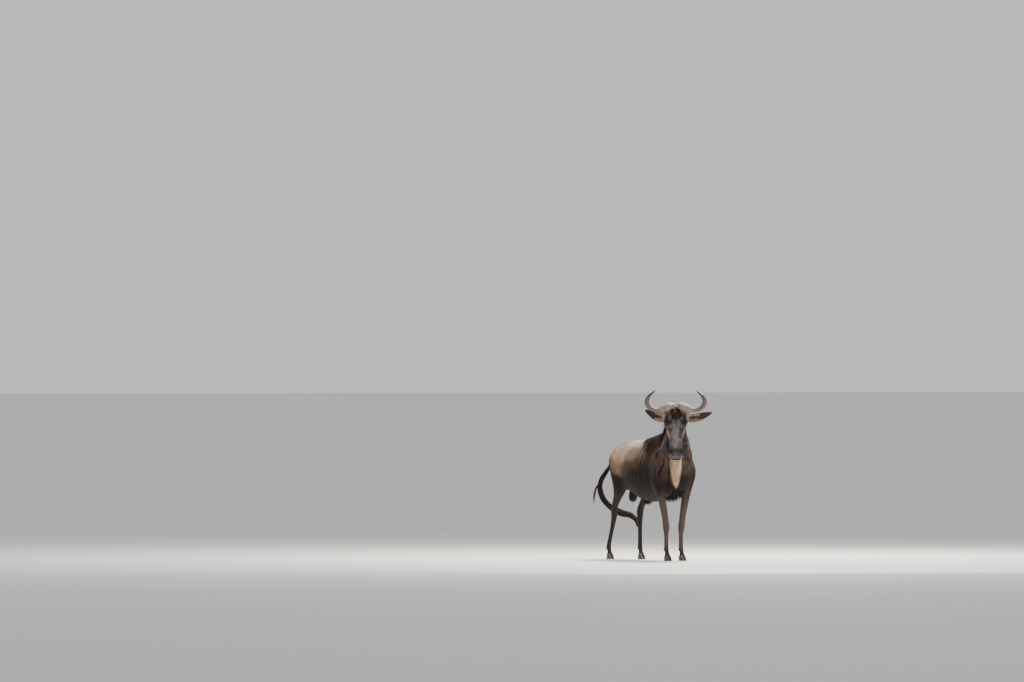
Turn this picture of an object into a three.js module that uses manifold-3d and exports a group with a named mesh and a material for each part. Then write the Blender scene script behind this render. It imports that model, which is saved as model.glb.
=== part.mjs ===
// A wildebeest bull at life size, standing on four feet with its head turned to the right and its tail swung
// behind its hocks. Millimetres, +Z up. The bull faces -Y and its left side is +X; the ground is z = 0.
// Every part is a smooth closed form through a few named stations, cut where it meets its neighbours.

import * as THREE from "three";
import { mergeVertices } from "three/addons/utils/BufferGeometryUtils.js";
import Module from "manifold-3d";

const wasm = await Module();
wasm.setup();

// Driving dimensions of the body.
const WITHERS_HEIGHT = 1240;
const BRISKET_HEIGHT = 605;
const BELLY_HEIGHT = 558;
const CROUP_HEIGHT = 1158;
const CHEST_HALF_WIDTH = 190;
const BELLY_HALF_WIDTH = 220;
const KNEE_HEIGHT = 325;
const HOCK_HEIGHT = 455;
const FETLOCK_HEIGHT = 118;
const HOOF_HEIGHT = 56;
const FORE_STANCE = 80; // half the distance between the fore feet
const HIND_STANCE = 112;
const RIGHT_HOCK_BACK = 1005; // how far each hind leg stands behind the fore feet
const RIGHT_HOOF_BACK = 1130;
const LEFT_HOCK_BACK = 905;
const LEFT_HOOF_BACK = 902;

// Driving dimensions of the head, which is built along its own axis from poll to muzzle.
const HEAD_TURN = THREE.MathUtils.degToRad(27); // to the bull's right
const HEAD_DROOP = THREE.MathUtils.degToRad(61); // muzzle below the level
const POLL = { forward: 152, left: -60, height: 1426 };
const EYE = { forward: 121, out: 101, above: 35, radius: 19 };
const HORN_REACH = 278; // from the middle of the head to the middle of the horn's outer bend
const HORN_RISE = 175; // of the tip over the root
const EAR_LENGTH = 262;
const EAR_WIDTH = 90;

// Left between neighbouring pieces.
const GAP = 0.3;

const MATERIALS = {
  coat: new THREE.MeshStandardMaterial({ name: "coat", color: 0x6b5a50, roughness: 0.8 }),
  face: new THREE.MeshStandardMaterial({ name: "face", color: 0x36322f, roughness: 0.7 }),
  black_hair: new THREE.MeshStandardMaterial({ name: "black_hair", color: 0x17140f, roughness: 0.6 }),
  beard_hair: new THREE.MeshStandardMaterial({ name: "beard_hair", color: 0xd9c39c, roughness: 0.7 }),
  horn: new THREE.MeshStandardMaterial({ name: "horn", color: 0x84786e, roughness: 0.5 }),
  hoof: new THREE.MeshStandardMaterial({ name: "hoof", color: 0x2b2622, roughness: 0.5 }),
  eye: new THREE.MeshStandardMaterial({ name: "eye", color: 0x120b07, roughness: 0.1 }),
};

// The animal, and the head's own frame in it: along -Y to the muzzle and +Z to the forehead.
const bull = new THREE.Group();
const animal = new THREE.Group();
bull.add(animal);
const headFrame = new THREE.Group();
headFrame.position.set(POLL.left, -POLL.forward, POLL.height);
headFrame.rotation.set(HEAD_DROOP, 0, -HEAD_TURN, "ZYX");
animal.add(headFrame);
// Upright again on the turned head, for the horns and ears.
const crownFrame = new THREE.Group();
crownFrame.rotation.set(-HEAD_DROOP, 0, 0);
headFrame.add(crownFrame);
bull.updateMatrixWorld(true);

const point = (forward, left, height) => new THREE.Vector3(left, -forward, height);
const bell = (x) => Math.exp(-x * x);

// A sphere's net pulled into another closed form. place() gets how far along it a ring is, the direction
// in the ring, and 0 at the two end points or 1 on the rings.
function closedForm(around, rings, place) {
  const form = new THREE.SphereGeometry(1, around, rings + 1);
  const { position, uv } = form.attributes;
  for (let i = 0; i < position.count; i++) {
    const row = Math.round((1 - uv.getY(i)) * (rings + 1));
    const share = THREE.MathUtils.clamp((row - 1) / (rings - 1), 0, 1);
    const open = row === 0 || row === rings + 1 ? 0 : 1;
    const angle = 2 * Math.PI * (uv.getX(i) % 1);
    position.setXYZ(i, ...place(share, angle, open).toArray());
  }
  form.deleteAttribute("uv");
  form.deleteAttribute("normal");
  return mergeVertices(form, 1e-3);
}

// Stations' sizes between two of them, smoothly. share is 0 at the first and 1 at the last.
const UNSTATED = { left: 0, height: 0, narrow: 0, square: 2, pitch: 0, turn: 0 };
function stationAt(stations, share) {
  const last = stations.length - 1;
  const i = Math.min(Math.floor(share * last), last - 1);
  const t = share * last - i;
  const found = {};
  for (const key of Object.keys({ ...UNSTATED, ...stations[0] })) {
    const [a, b, c, d] = [i - 1, i, i + 1, i + 2].map(
      (k) => stations[THREE.MathUtils.clamp(k, 0, last)][key] ?? UNSTATED[key],
    );
    found[key] = b + 0.5 * t * (c - a + t * (2 * a - 5 * b + 4 * c - d + t * (3 * (b - c) + d - a)));
  }
  return found;
}

// A body form through stations. Each has its middle (forward, left, height) and a section that reaches wide to
// each side, up and down; narrow makes it wider above than below, square squares it, and pitch and turn say
// which way it looks, in degrees. swell(forward, direction) adds to the section, with 0 degrees to the left.
function bodyForm(stations, { around, rings, pitch = 0, swell = () => 0 }, grow = 0) {
  return closedForm(around, rings, (share, angle, open) => {
    const s = stationAt(stations, share);
    const lift = THREE.MathUtils.degToRad(pitch + s.pitch);
    const turn = THREE.MathUtils.degToRad(s.turn);
    const ahead = new THREE.Vector3(-Math.sin(turn) * Math.cos(lift), -Math.cos(turn) * Math.cos(lift), Math.sin(lift));
    const side = new THREE.Vector3(Math.cos(turn), -Math.sin(turn), 0);
    const over = ahead.clone().cross(side);
    const rounded = (x) => Math.sign(x) * Math.abs(x) ** (2 / s.square);
    const [across, above] = [rounded(Math.cos(angle)), rounded(-Math.sin(angle))];
    const more = swell(s.forward, THREE.MathUtils.radToDeg(Math.atan2(above, across)));
    const wide = (s.wide + more) * (1 + s.narrow * above) + grow;
    const reach = (above > 0 ? s.up : s.down) + more + grow;
    const middle = point(s.forward, s.left, s.height);
    if (share === 0) middle.addScaledVector(ahead, -grow);
    if (share === 1) middle.addScaledVector(ahead, grow);
    return middle.addScaledVector(side, open * across * wide).addScaledVector(over, open * above * reach);
  });
}

// A horn or tail: rings of the given half-widths along a smooth curve through points.
function sweptForm(points, girths, { around, rings }, grow = 0) {
  const path = new THREE.CatmullRomCurve3(points);
  const frames = path.computeFrenetFrames(rings - 1);
  return closedForm(around, rings, (share, angle, open) => {
    const i = Math.round(share * (rings - 1));
    const { across, through } = stationAt(girths, share);
    const middle = path.getPointAt(share);
    if (share === 0) middle.addScaledVector(frames.tangents[i], -grow);
    if (share === 1) middle.addScaledVector(frames.tangents[i], grow);
    return middle
      .addScaledVector(frames.normals[i], open * Math.cos(angle) * (across + grow))
      .addScaledVector(frames.binormals[i], -open * Math.sin(angle) * (through + grow));
  });
}

// Trunk, from the buttocks to the brisket: deep chest, back falling from the withers to the croup.
const TRUNK_MIDDLE = 925;
function trunkStation(forward, top, bottom, wide, narrow = 0) {
  return { forward, height: TRUNK_MIDDLE, wide, up: top - TRUNK_MIDDLE, down: TRUNK_MIDDLE - bottom, narrow, square: 2.15 };
}
const trunkStations = [
  trunkStation(-1098, 1000, 860, 62),
  trunkStation(-1062, 1072, 800, 128),
  trunkStation(-975, 1130, 745, 172),
  trunkStation(-840, CROUP_HEIGHT, 690, 192, -0.06),
  trunkStation(-680, 1166, 622, 204, -0.1),
  trunkStation(-520, 1174, BELLY_HEIGHT + 10, BELLY_HALF_WIDTH, -0.1),
  trunkStation(-360, 1194, BELLY_HEIGHT, 216, -0.12),
  trunkStation(-200, 1228, BELLY_HEIGHT + 20, 202, -0.18),
  trunkStation(-70, WITHERS_HEIGHT, BRISKET_HEIGHT - 4, CHEST_HALF_WIDTH, -0.24),
  trunkStation(50, 1192, BRISKET_HEIGHT + 14, 172, -0.2),
  trunkStation(145, 1090, 676, 140, -0.08),
  trunkStation(204, 975, 790, 84),
];
const hipSwell = (forward, direction) =>
  14 * bell((forward + 800) / 60) * (bell((direction - 38) / 18) + bell((direction - 142) / 18));
const trunk = (grow) => bodyForm(trunkStations, { around: 20, rings: 17, swell: hipSwell }, grow);

// Neck, from inside the chest to inside the skull, thick and turning to the right.
const neckStations = [
  { forward: -50, left: 0, height: 965, wide: 150, up: 235, down: 235, pitch: 45, turn: 0, narrow: -0.15 },
  { forward: 70, left: -8, height: 1055, wide: 150, up: 250, down: 245, pitch: 43, turn: 4, narrow: -0.22 },
  { forward: 112, left: -28, height: 1135, wide: 135, up: 218, down: 222, pitch: 37, turn: 11, narrow: -0.25 },
  { forward: 142, left: -47, height: 1215, wide: 122, up: 185, down: 190, pitch: 26, turn: 19, narrow: -0.22 },
  { forward: 160, left: -62, height: 1300, wide: 112, up: 152, down: 150, pitch: 12, turn: 25, narrow: -0.15 },
  { forward: 190, left: -78, height: 1318, wide: 86, up: 118, down: 112, pitch: 2, turn: 27, narrow: -0.1 },
];
const neck = (grow) => bodyForm(neckStations, { around: 16, rings: 9 }, grow);

// Head, from the back of the skull to the lips: broad between the eyes, long straight face, square muzzle.
const headStations = [
  { forward: -46, height: -14, wide: 58, up: 60, down: 44, square: 2.2 },
  { forward: -12, height: -4, wide: 84, up: 82, down: 66, square: 2.3 },
  { forward: 55, height: 0, wide: 101, up: 92, down: 96, square: 2.4 },
  { forward: 120, height: 0, wide: 104, up: 92, down: 122, square: 2.4, narrow: 0.02 },
  { forward: 190, height: 0, wide: 84, up: 84, down: 126, square: 2.4, narrow: 0.02 },
  { forward: 265, height: 0, wide: 69, up: 77, down: 100, square: 2.5 },
  { forward: 340, height: 0, wide: 64, up: 72, down: 68, square: 2.6 },
  { forward: 405, height: 0, wide: 71, up: 69, down: 50, square: 2.7 },
  { forward: 455, height: 0, wide: 80, up: 63, down: 44, square: 2.7 },
  { forward: 488, height: 0, wide: 76, up: 50, down: 41, square: 2.6 },
  { forward: 504, height: 0, wide: 58, up: 33, down: 31, square: 2.4 },
];
const bothSides = (direction, at, spread) => bell((direction - at) / spread) + bell((direction - 180 + at) / spread);
const faceSwell = (forward, direction) =>
  15 * bell((forward - EYE.forward + 8) / 34) * bothSides(direction, 24, 20) +
  7 * bell((forward - 200) / 55) * bothSides(direction, -30, 24) +
  6 * bell((forward - 458) / 22) * bothSides(direction, 48, 20) -
  5 * bell((forward - 300) / 70) * bothSides(direction, 12, 16);
const head = (grow) => bodyForm(headStations, { around: 18, rings: 18, swell: faceSwell }, grow);

// Lower jaw, from the cheeks to the chin, under the upper lip.
const jawStations = [
  { forward: 255, height: -84, wide: 52, up: 34, down: 24 },
  { forward: 330, height: -68, wide: 49, up: 28, down: 27 },
  { forward: 400, height: -60, wide: 46, up: 24, down: 27 },
  { forward: 455, height: -57, wide: 49, up: 22, down: 25, square: 2.3 },
  { forward: 484, height: -57, wide: 43, up: 19, down: 20, square: 2.3 },
  { forward: 497, height: -56, wide: 28, up: 12, down: 12 },
];
const lowerJaw = (grow) => bodyForm(jawStations, { around: 14, rings: 8 }, grow);

// Eyeball, sunk in its orbit on each side.
const eyeball = (side) => (grow) => {
  const ball = new THREE.SphereGeometry(EYE.radius + grow, 10, 8);
  ball.translate(side * (EYE.out - 6), -EYE.forward, EYE.above);
  ball.deleteAttribute("uv");
  ball.deleteAttribute("normal");
  return mergeVertices(ball, 1e-3);
};

// Horn: a broad boss on the crown, then out, a little down, up, and in at the tip.
const hornPoint = (side, out, forward, rise) => point(forward, side * out, rise);
const horn = (side) => (grow) => {
  const path = [
    hornPoint(side, 16, 48, 58),
    hornPoint(side, 52, 56, 62),
    hornPoint(side, 104, 66, 42),
    hornPoint(side, 160, 78, 27),
    hornPoint(side, 212, 88, 30),
    hornPoint(side, 258, 94, 56),
    hornPoint(side, HORN_REACH, 92, 104),
    hornPoint(side, 262, 82, 152),
    hornPoint(side, 226, 68, 190),
    hornPoint(side, 182, 54, 50 + HORN_RISE),
  ];
  const girths = [
    { across: 26, through: 34 },
    { across: 38, through: 62 },
    { across: 32, through: 46 },
    { across: 24, through: 27 },
    { across: 22, through: 24 },
    { across: 23, through: 24 },
    { across: 22, through: 22 },
    { across: 17, through: 17 },
    { across: 10, through: 10 },
    { across: 2.5, through: 2.5 },
  ];
  return sweptForm(path, girths, { around: 10, rings: 19 }, grow);
};

// Ear: a cupped leaf. The ring runs out along its back and home along its hollow.
const EAR_WALL = 8;
const ear = (side, aim) => (grow) =>
  closedForm(12, 10, (share, angle, open) => {
    const across = Math.cos(angle);
    const onBack = side * Math.sin(angle);
    const leaf = Math.sin(Math.PI * (0.16 + 0.84 * share)) ** 0.62;
    const half = (EAR_WIDTH / 2) * leaf + 2 + grow;
    const cup = THREE.MathUtils.lerp(28, 4, share) * (1 - across * across);
    const wall = (EAR_WALL * (1 - 0.5 * share) + grow) * onBack;
    const along = share * EAR_LENGTH + (share === 1 ? grow : 0);
    return new THREE.Vector3(side * along, open * (cup + wall), open * across * half + aim.lift * share ** 2);
  })
    .rotateX(aim.roll)
    .rotateY(-side * aim.rise)
    .rotateZ(side * aim.back)
    .translate(side * aim.out, -aim.forward, aim.height);
const RIGHT_EAR = { out: 88, forward: 22, height: -56, roll: 0, rise: 0.12, back: 0.67, lift: 50 };
const LEFT_EAR = { out: 88, forward: 22, height: -54, roll: 0.5, rise: 0.03, back: 0.08, lift: 55 };

// Foreleg, from the shoulder blade to the coronet above the hooves.
const foreStation = (forward, out, height, wide, front, back) => ({ forward, out, height, wide, up: front, down: back });
const FORELEG = [
  foreStation(-104, 96, 1156, 22, 34, 40),
  foreStation(-86, 114, 1105, 52, 78, 90),
  foreStation(-58, 124, 1040, 68, 108, 128),
  foreStation(-20, 134, 940, 72, 134, 150),
  foreStation(14, 144, 845, 68, 118, 140),
  foreStation(2, 148, 755, 60, 88, 114),
  foreStation(-8, 145, 685, 53, 60, 76),
  foreStation(-2, 132, 610, 44, 48, 50),
  foreStation(0, 112, 515, 36, 38, 37),
  foreStation(2, 94, 415, 29, 29, 30),
  foreStation(3, 86, KNEE_HEIGHT + 28, 33, 33, 30),
  foreStation(3, FORE_STANCE + 3, KNEE_HEIGHT - 6, 33, 32, 32),
  foreStation(1, FORE_STANCE, KNEE_HEIGHT - 52, 24, 23, 27),
  foreStation(0, FORE_STANCE, 215, 20, 21, 24),
  foreStation(0, FORE_STANCE, FETLOCK_HEIGHT + 38, 22, 22, 26),
  foreStation(2, FORE_STANCE, FETLOCK_HEIGHT, 27, 25, 33),
  foreStation(12, FORE_STANCE, 86, 24, 23, 25),
  foreStation(22, FORE_STANCE, HOOF_HEIGHT, 29, 30, 27),
];

// Hind leg, from the haunch to the coronet. The hock and hoof stand back by what the pose asks.
function hindStations(hockBack, hoofBack) {
  const towards = (share) => -THREE.MathUtils.lerp(hockBack, hoofBack, share);
  const knee = -(hockBack - 170);
  return [
    foreStation(-872, 96, 1110, 24, 44, 50),
    foreStation(-876, 110, 1070, 60, 108, 118),
    foreStation(-880, 118, 1015, 78, 148, 162),
    foreStation(-884, 124, 925, 80, 172, 184),
    foreStation((knee - 884) / 2, 130, 820, 74, 172, 158),
    foreStation(knee - 14, 134, 735, 64, 132, 118),
    foreStation(knee - 40, 132, 660, 52, 92, 86),
    foreStation(knee - 92, 126, 585, 38, 58, 62),
    foreStation(-hockBack + 18, 119, HOCK_HEIGHT + 62, 29, 38, 50),
    foreStation(-hockBack, 114, HOCK_HEIGHT + 8, 31, 36, 47),
    foreStation(towards(0.1), HIND_STANCE, HOCK_HEIGHT - 50, 26, 30, 35),
    foreStation(towards(0.34), HIND_STANCE, 325, 21, 23, 25),
    foreStation(towards(0.66), HIND_STANCE, 230, 20, 21, 23),
    foreStation(towards(0.92), HIND_STANCE, FETLOCK_HEIGHT + 40, 22, 22, 26),
    foreStation(towards(1), HIND_STANCE, FETLOCK_HEIGHT, 27, 26, 33),
    foreStation(towards(1) + 12, HIND_STANCE, 86, 24, 23, 25),
    foreStation(towards(1) + 22, HIND_STANCE, HOOF_HEIGHT, 29, 30, 27),
  ];
}

// The two small dew claws hang behind each fetlock.
const dewClaw = (foot, side) =>
  bodyForm(
    [
      { forward: foot.forward - 44, left: foot.left + side * 15, height: FETLOCK_HEIGHT + 4, wide: 9, up: 12, down: 8 },
      { forward: foot.forward - 52, left: foot.left + side * 16, height: FETLOCK_HEIGHT - 16, wide: 9, up: 12, down: 7 },
      { forward: foot.forward - 52, left: foot.left + side * 16, height: FETLOCK_HEIGHT - 30, wide: 4, up: 5, down: 3 },
    ],
    { around: 5, rings: 3, pitch: -90 },
  );
const legRings = (stations, side) => stations.map((s) => ({ ...s, left: side * s.out }));
const leg = (stations, side) => (grow) => bodyForm(legRings(stations, side), { around: 10, rings: 19, pitch: -90 }, grow);

// Hoof: one claw of the cloven foot, flat on the ground.
const CLAW_SPACING = 16.5;
const claw = (foot, side) => () => {
  const left = foot.left + side * CLAW_SPACING;
  return bodyForm(
    [
      { forward: foot.forward, left, height: HOOF_HEIGHT - GAP, wide: 14.5, up: 29, down: 27, square: 2 },
      { forward: foot.forward + 4, left, height: HOOF_HEIGHT / 2, wide: 15.5, up: 42, down: 36, square: 2.2 },
      { forward: foot.forward + 8, left: left - side * 1, height: 0, wide: 15.5, up: 56, down: 40, square: 1.9 },
    ],
    { around: 10, rings: 3, pitch: -90 },
  );
};

// Tail: a dock out of the croup, then the long black switch, swung right and then left behind the hocks.
const tailPath = [
  point(-1040, 0, 1015),
  point(-1112, -20, 984),
  point(-1158, -70, 916),
  point(-1186, -124, 828),
  point(-1204, -166, 736),
  point(-1206, -160, 640),
  point(-1198, -112, 552),
  point(-1190, -34, 486),
  point(-1178, 56, 446),
  point(-1140, 128, 424),
  point(-1096, 168, 380),
  point(-1082, 176, 312),
];
const DOCK_ENDS = 3; // places in tailPath where one length gives way to the next
const UPPER_ENDS = 7;
const dockGirths = [
  { across: 40, through: 34 },
  { across: 31, through: 28 },
  { across: 24, through: 24 },
  { across: 21, through: 21 },
];
const upperGirths = [
  { across: 20, through: 20 },
  { across: 23, through: 23 },
  { across: 26, through: 26 },
  { across: 30, through: 30 },
];
const lowerGirths = [
  { across: 30, through: 30 },
  { across: 40, through: 40 },
  { across: 36, through: 32 },
  { across: 25, through: 22 },
  { across: 6, through: 6 },
];
const dock = (grow) => sweptForm(tailPath.slice(0, DOCK_ENDS + 1), dockGirths, { around: 8, rings: 7 }, grow);
const upperSwitch = (grow) =>
  sweptForm(tailPath.slice(DOCK_ENDS, UPPER_ENDS + 1), upperGirths, { around: 8, rings: 9 }, grow);
const lowerSwitch = (grow) => sweptForm(tailPath.slice(UPPER_ENDS), lowerGirths, { around: 8, rings: 9 }, grow);
// A loose lock that hangs from the switch where it bends.
const wisp = (grow) =>
  sweptForm(
    [point(-1206, -166, 742), point(-1210, -208, 696), point(-1212, -232, 610), point(-1208, -234, 490)],
    [{ across: 8, through: 8 }, { across: 9, through: 7 }, { across: 8, through: 6 }, { across: 2, through: 2 }],
    { around: 5, rings: 5 },
    grow,
  );

// Mane: long black hair over the crest of the neck, from the poll to the withers, fallen mostly to the right.
const maneStations = [
  { forward: -250, left: -8, height: 1165, wide: 48, up: 66, down: 60, pitch: 20, turn: 2 },
  { forward: -150, left: -14, height: 1190, wide: 84, up: 88, down: 96, pitch: 30, turn: 4 },
  { forward: -62, left: -22, height: 1225, wide: 92, up: 96, down: 120, pitch: 42, turn: 7 },
  { forward: 10, left: -40, height: 1290, wide: 88, up: 92, down: 118, pitch: 40, turn: 13 },
  { forward: 72, left: -60, height: 1362, wide: 78, up: 82, down: 96, pitch: 32, turn: 20 },
  { forward: 116, left: -72, height: 1420, wide: 60, up: 66, down: 66, pitch: 22, turn: 26 },
];
const mane = (grow) => bodyForm(maneStations, { around: 10, rings: 8 }, grow);

// Beard: pale hair hanging from the chin and throat, in line with the turned head.
const beardStation = (ahead, top, tip, wide) => ({
  forward: POLL.forward + ahead * Math.cos(HEAD_TURN),
  left: POLL.left - ahead * Math.sin(HEAD_TURN),
  height: top - (top - tip) * 0.35,
  up: (top - tip) * 0.35,
  down: (top - tip) * 0.65,
  wide,
  narrow: 0.55,
  turn: THREE.MathUtils.radToDeg(HEAD_TURN),
});
const beardStations = [
  beardStation(-10, 1060, 770, 20),
  beardStation(30, 1080, 700, 44),
  beardStation(90, 1080, 664, 58),
  beardStation(150, 1050, 690, 60),
  beardStation(205, 1010, 790, 52),
  beardStation(240, 985, 890, 30),
];
const beard = (grow) => bodyForm(beardStations, { around: 10, rings: 7 }, grow);

// Forelock: coarse black hair between the horn bosses.
const forelockStations = [
  { forward: -22, height: 74, wide: 14, up: 18, down: 20 },
  { forward: 8, height: 84, wide: 22, up: 18, down: 20 },
  { forward: 50, height: 86, wide: 25, up: 15, down: 18 },
  { forward: 88, height: 86, wide: 14, up: 10, down: 12 },
];
const forelock = (grow) => bodyForm(forelockStations, { around: 8, rings: 5 }, grow);

// Scrotum, between the thighs, and the sheath under the belly.
const scrotum = (grow) =>
  bodyForm(
    [
      { forward: -838, height: 700, wide: 34, up: 34, down: 34 },
      { forward: -838, height: 650, wide: 38, up: 36, down: 36 },
      { forward: -840, height: 595, wide: 42, up: 37, down: 37 },
      { forward: -841, height: 566, wide: 22, up: 20, down: 20 },
    ],
    { around: 8, rings: 6, pitch: -90 },
    grow,
  );
const sheath = (grow) =>
  bodyForm(
    [
      { forward: -700, height: 636, wide: 22, up: 30, down: 18 },
      { forward: -610, height: 600, wide: 26, up: 34, down: 26 },
      { forward: -530, height: 578, wide: 24, up: 34, down: 30 },
      { forward: -490, height: 566, wide: 10, up: 16, down: 18 },
    ],
    { around: 8, rings: 5 },
    grow,
  );

// A form in a frame as a solid in the animal's own frame.
function solidOf(form, frame) {
  const world = form.clone().applyMatrix4(frame.matrixWorld);
  return new wasm.Manifold(
    new wasm.Mesh({
      numProp: 3,
      vertProperties: world.attributes.position.array,
      triVerts: new Uint32Array(world.index.array),
    }),
  );
}
function geometryOf(solid, frame) {
  const { vertProperties, triVerts } = solid.getMesh();
  const geometry = new THREE.BufferGeometry();
  geometry.setAttribute("position", new THREE.BufferAttribute(vertProperties, 3));
  geometry.setIndex(new THREE.BufferAttribute(triVerts, 1));
  geometry.applyMatrix4(frame.matrixWorld.clone().invert());
  geometry.computeVertexNormals();
  return geometry;
}

// Every named part: its forms joined, then cut where the parts in cutBy lie.
const parts = new Map();
function addPart(name, material, frame, forms, cutBy = []) {
  const solid = (grow) => forms.map((form) => solidOf(form(grow), frame)).reduce((a, b) => a.add(b));
  parts.set(name, { material, frame, solid, cutBy });
}

addPart("eye_right", "eye", headFrame, [eyeball(-1)]);
addPart("eye_left", "eye", headFrame, [eyeball(1)]);
addPart("horn_right", "horn", crownFrame, [horn(-1)]);
addPart("horn_left", "horn", crownFrame, [horn(1)]);
addPart("lower_jaw", "face", headFrame, [lowerJaw]);
addPart("head", "face", headFrame, [head], ["eye_right", "eye_left", "horn_right", "horn_left", "lower_jaw"]);
addPart("ear_right", "coat", crownFrame, [ear(-1, RIGHT_EAR)], ["head", "horn_right"]);
addPart("ear_left", "coat", crownFrame, [ear(1, LEFT_EAR)], ["head", "horn_left"]);
addPart("forelock", "black_hair", headFrame, [forelock], ["head", "horn_right", "horn_left"]);
addPart("neck", "coat", animal, [neck], ["head", "lower_jaw", "horn_right", "horn_left", "ear_right", "ear_left"]);

const FEET = [
  { leg: "foreleg_right", side: -1, stations: FORELEG, ahead: 22, stance: FORE_STANCE },
  { leg: "foreleg_left", side: 1, stations: FORELEG, ahead: 22, stance: FORE_STANCE },
  { leg: "hindleg_right", side: -1, stations: hindStations(RIGHT_HOCK_BACK, RIGHT_HOOF_BACK), ahead: 22 - RIGHT_HOOF_BACK, stance: HIND_STANCE },
  { leg: "hindleg_left", side: 1, stations: hindStations(LEFT_HOCK_BACK, LEFT_HOOF_BACK), ahead: 22 - LEFT_HOOF_BACK, stance: HIND_STANCE },
];
for (const { leg: name, side, stations, ahead, stance } of FEET) {
  const foot = { forward: ahead, left: side * stance };
  const dewClaws = [-1, 1].map((which) => () => dewClaw(foot, which));
  addPart(name, "coat", animal, [leg(stations, side), ...dewClaws], name.startsWith("fore") ? ["neck"] : []);
  for (const which of [-1, 1]) {
    const place = which === side ? "outer" : "inner";
    addPart(`${name.replace("leg", "hoof")}_${place}`, "hoof", animal, [claw(foot, which)]);
  }
}
const legNames = FEET.map((foot) => foot.leg);
addPart("trunk", "coat", animal, [trunk], ["neck", ...legNames]);
addPart("tail_dock", "coat", animal, [dock], ["trunk", "hindleg_right", "hindleg_left"]);
addPart("tail_switch_upper", "black_hair", animal, [upperSwitch, wisp], ["tail_dock", "hindleg_right"]);
addPart("tail_switch_lower", "black_hair", animal, [lowerSwitch], ["tail_switch_upper", "hindleg_right", "hindleg_left"]);
addPart("mane", "black_hair", animal, [mane], ["neck", "trunk", "head", "horn_right", "horn_left", "ear_right", "ear_left"]);
addPart("beard", "beard_hair", animal, [beard], ["neck", "head", "lower_jaw", "trunk", "foreleg_right", "foreleg_left"]);
addPart("scrotum", "coat", animal, [scrotum], ["trunk", "hindleg_right", "hindleg_left"]);
addPart("sheath", "black_hair", animal, [sheath], ["trunk", "hindleg_right", "hindleg_left"]);

for (const [name, { material, frame, solid, cutBy }] of parts) {
  const cut = cutBy.reduce((left, other) => left.subtract(parts.get(other).solid(GAP)), solid(0));
  const mesh = new THREE.Mesh(geometryOf(cut, frame), MATERIALS[material]);
  mesh.name = name;
  frame.add(mesh);
}

// The origin is on the ground, under the middle of the whole animal.
const box = new THREE.Box3().setFromObject(bull, true);
const middle = box.getCenter(new THREE.Vector3());
animal.position.set(-middle.x, -middle.y, -box.min.z);

export default bull;
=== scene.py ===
# A wildebeest bull: one skin over the whole body, the coat on it in tufts, and long hair in locks.

import math

import bmesh
import bpy
import numpy as np
import openvdb
from mathutils import Matrix, Vector
from mathutils.kdtree import KDTree


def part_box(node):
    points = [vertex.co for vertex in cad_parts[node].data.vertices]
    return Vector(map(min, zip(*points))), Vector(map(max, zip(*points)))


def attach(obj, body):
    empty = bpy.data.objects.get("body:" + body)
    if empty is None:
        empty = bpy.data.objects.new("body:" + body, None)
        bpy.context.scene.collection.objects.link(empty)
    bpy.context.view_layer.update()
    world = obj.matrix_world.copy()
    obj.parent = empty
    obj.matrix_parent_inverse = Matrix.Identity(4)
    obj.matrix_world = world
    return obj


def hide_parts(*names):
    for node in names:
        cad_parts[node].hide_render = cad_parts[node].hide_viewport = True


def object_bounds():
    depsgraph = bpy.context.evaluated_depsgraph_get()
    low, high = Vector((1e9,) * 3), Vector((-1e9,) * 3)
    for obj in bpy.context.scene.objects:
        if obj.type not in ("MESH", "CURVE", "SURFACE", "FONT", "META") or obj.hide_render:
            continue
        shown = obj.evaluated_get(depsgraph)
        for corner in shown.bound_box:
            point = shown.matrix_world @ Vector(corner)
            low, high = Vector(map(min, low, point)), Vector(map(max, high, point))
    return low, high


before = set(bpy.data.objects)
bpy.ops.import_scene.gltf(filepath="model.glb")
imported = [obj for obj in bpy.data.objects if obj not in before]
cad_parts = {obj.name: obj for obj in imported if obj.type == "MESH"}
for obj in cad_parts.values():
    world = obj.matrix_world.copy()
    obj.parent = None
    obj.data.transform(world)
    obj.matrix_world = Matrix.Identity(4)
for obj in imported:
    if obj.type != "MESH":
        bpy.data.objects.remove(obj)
cad_box = [list(corner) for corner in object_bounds()]

# Camera. It stands far off at the height of a tall bull's head and looks along the ground at the bull's
# front and right side. The fore feet come where the photograph has them.
VIEW_AZIMUTH = math.radians(-28)
CAMERA_DISTANCE = 109.4
CAMERA_HEIGHT = 2.01
LENS_MM, SENSOR_MM = 400, 36
IMAGE_WIDTH, IMAGE_HEIGHT = 1024, 682
FOREFEET_PIXEL = (675.5, 561)


def placed(name, data):
    """An object in the scene."""
    thing = bpy.data.objects.new(name, data)
    bpy.context.scene.collection.objects.link(thing)
    return thing


hoof_boxes = [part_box(f"forehoof_{side}_inner") for side in ("right", "left")]
forefeet = sum((low + high for low, high in hoof_boxes), Vector()) / 4
forefeet.z = 0
camera = placed("camera", bpy.data.cameras.new("camera"))
bpy.context.scene.camera = camera
camera.data.lens, camera.data.sensor_width = LENS_MM, SENSOR_MM
camera.data.clip_end = 1000
camera.location = forefeet + CAMERA_DISTANCE * Vector((math.sin(VIEW_AZIMUTH), -math.cos(VIEW_AZIMUTH), 0))
camera.location.z = CAMERA_HEIGHT
pixel = SENSOR_MM / LENS_MM / IMAGE_WIDTH
to_feet = (forefeet - camera.location).normalized()
seen_at = Vector((
    (FOREFEET_PIXEL[0] - IMAGE_WIDTH / 2) * pixel,
    (IMAGE_HEIGHT / 2 - FOREFEET_PIXEL[1]) * pixel,
    -1,
)).normalized()
tilt = math.asin(to_feet.z / math.hypot(seen_at.y, seen_at.z)) - math.atan2(seen_at.z, seen_at.y)
tilted = Matrix.Rotation(tilt, 3, "X") @ seen_at
turn = math.atan2(to_feet.y, to_feet.x) - math.atan2(tilted.y, tilted.x)
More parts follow.
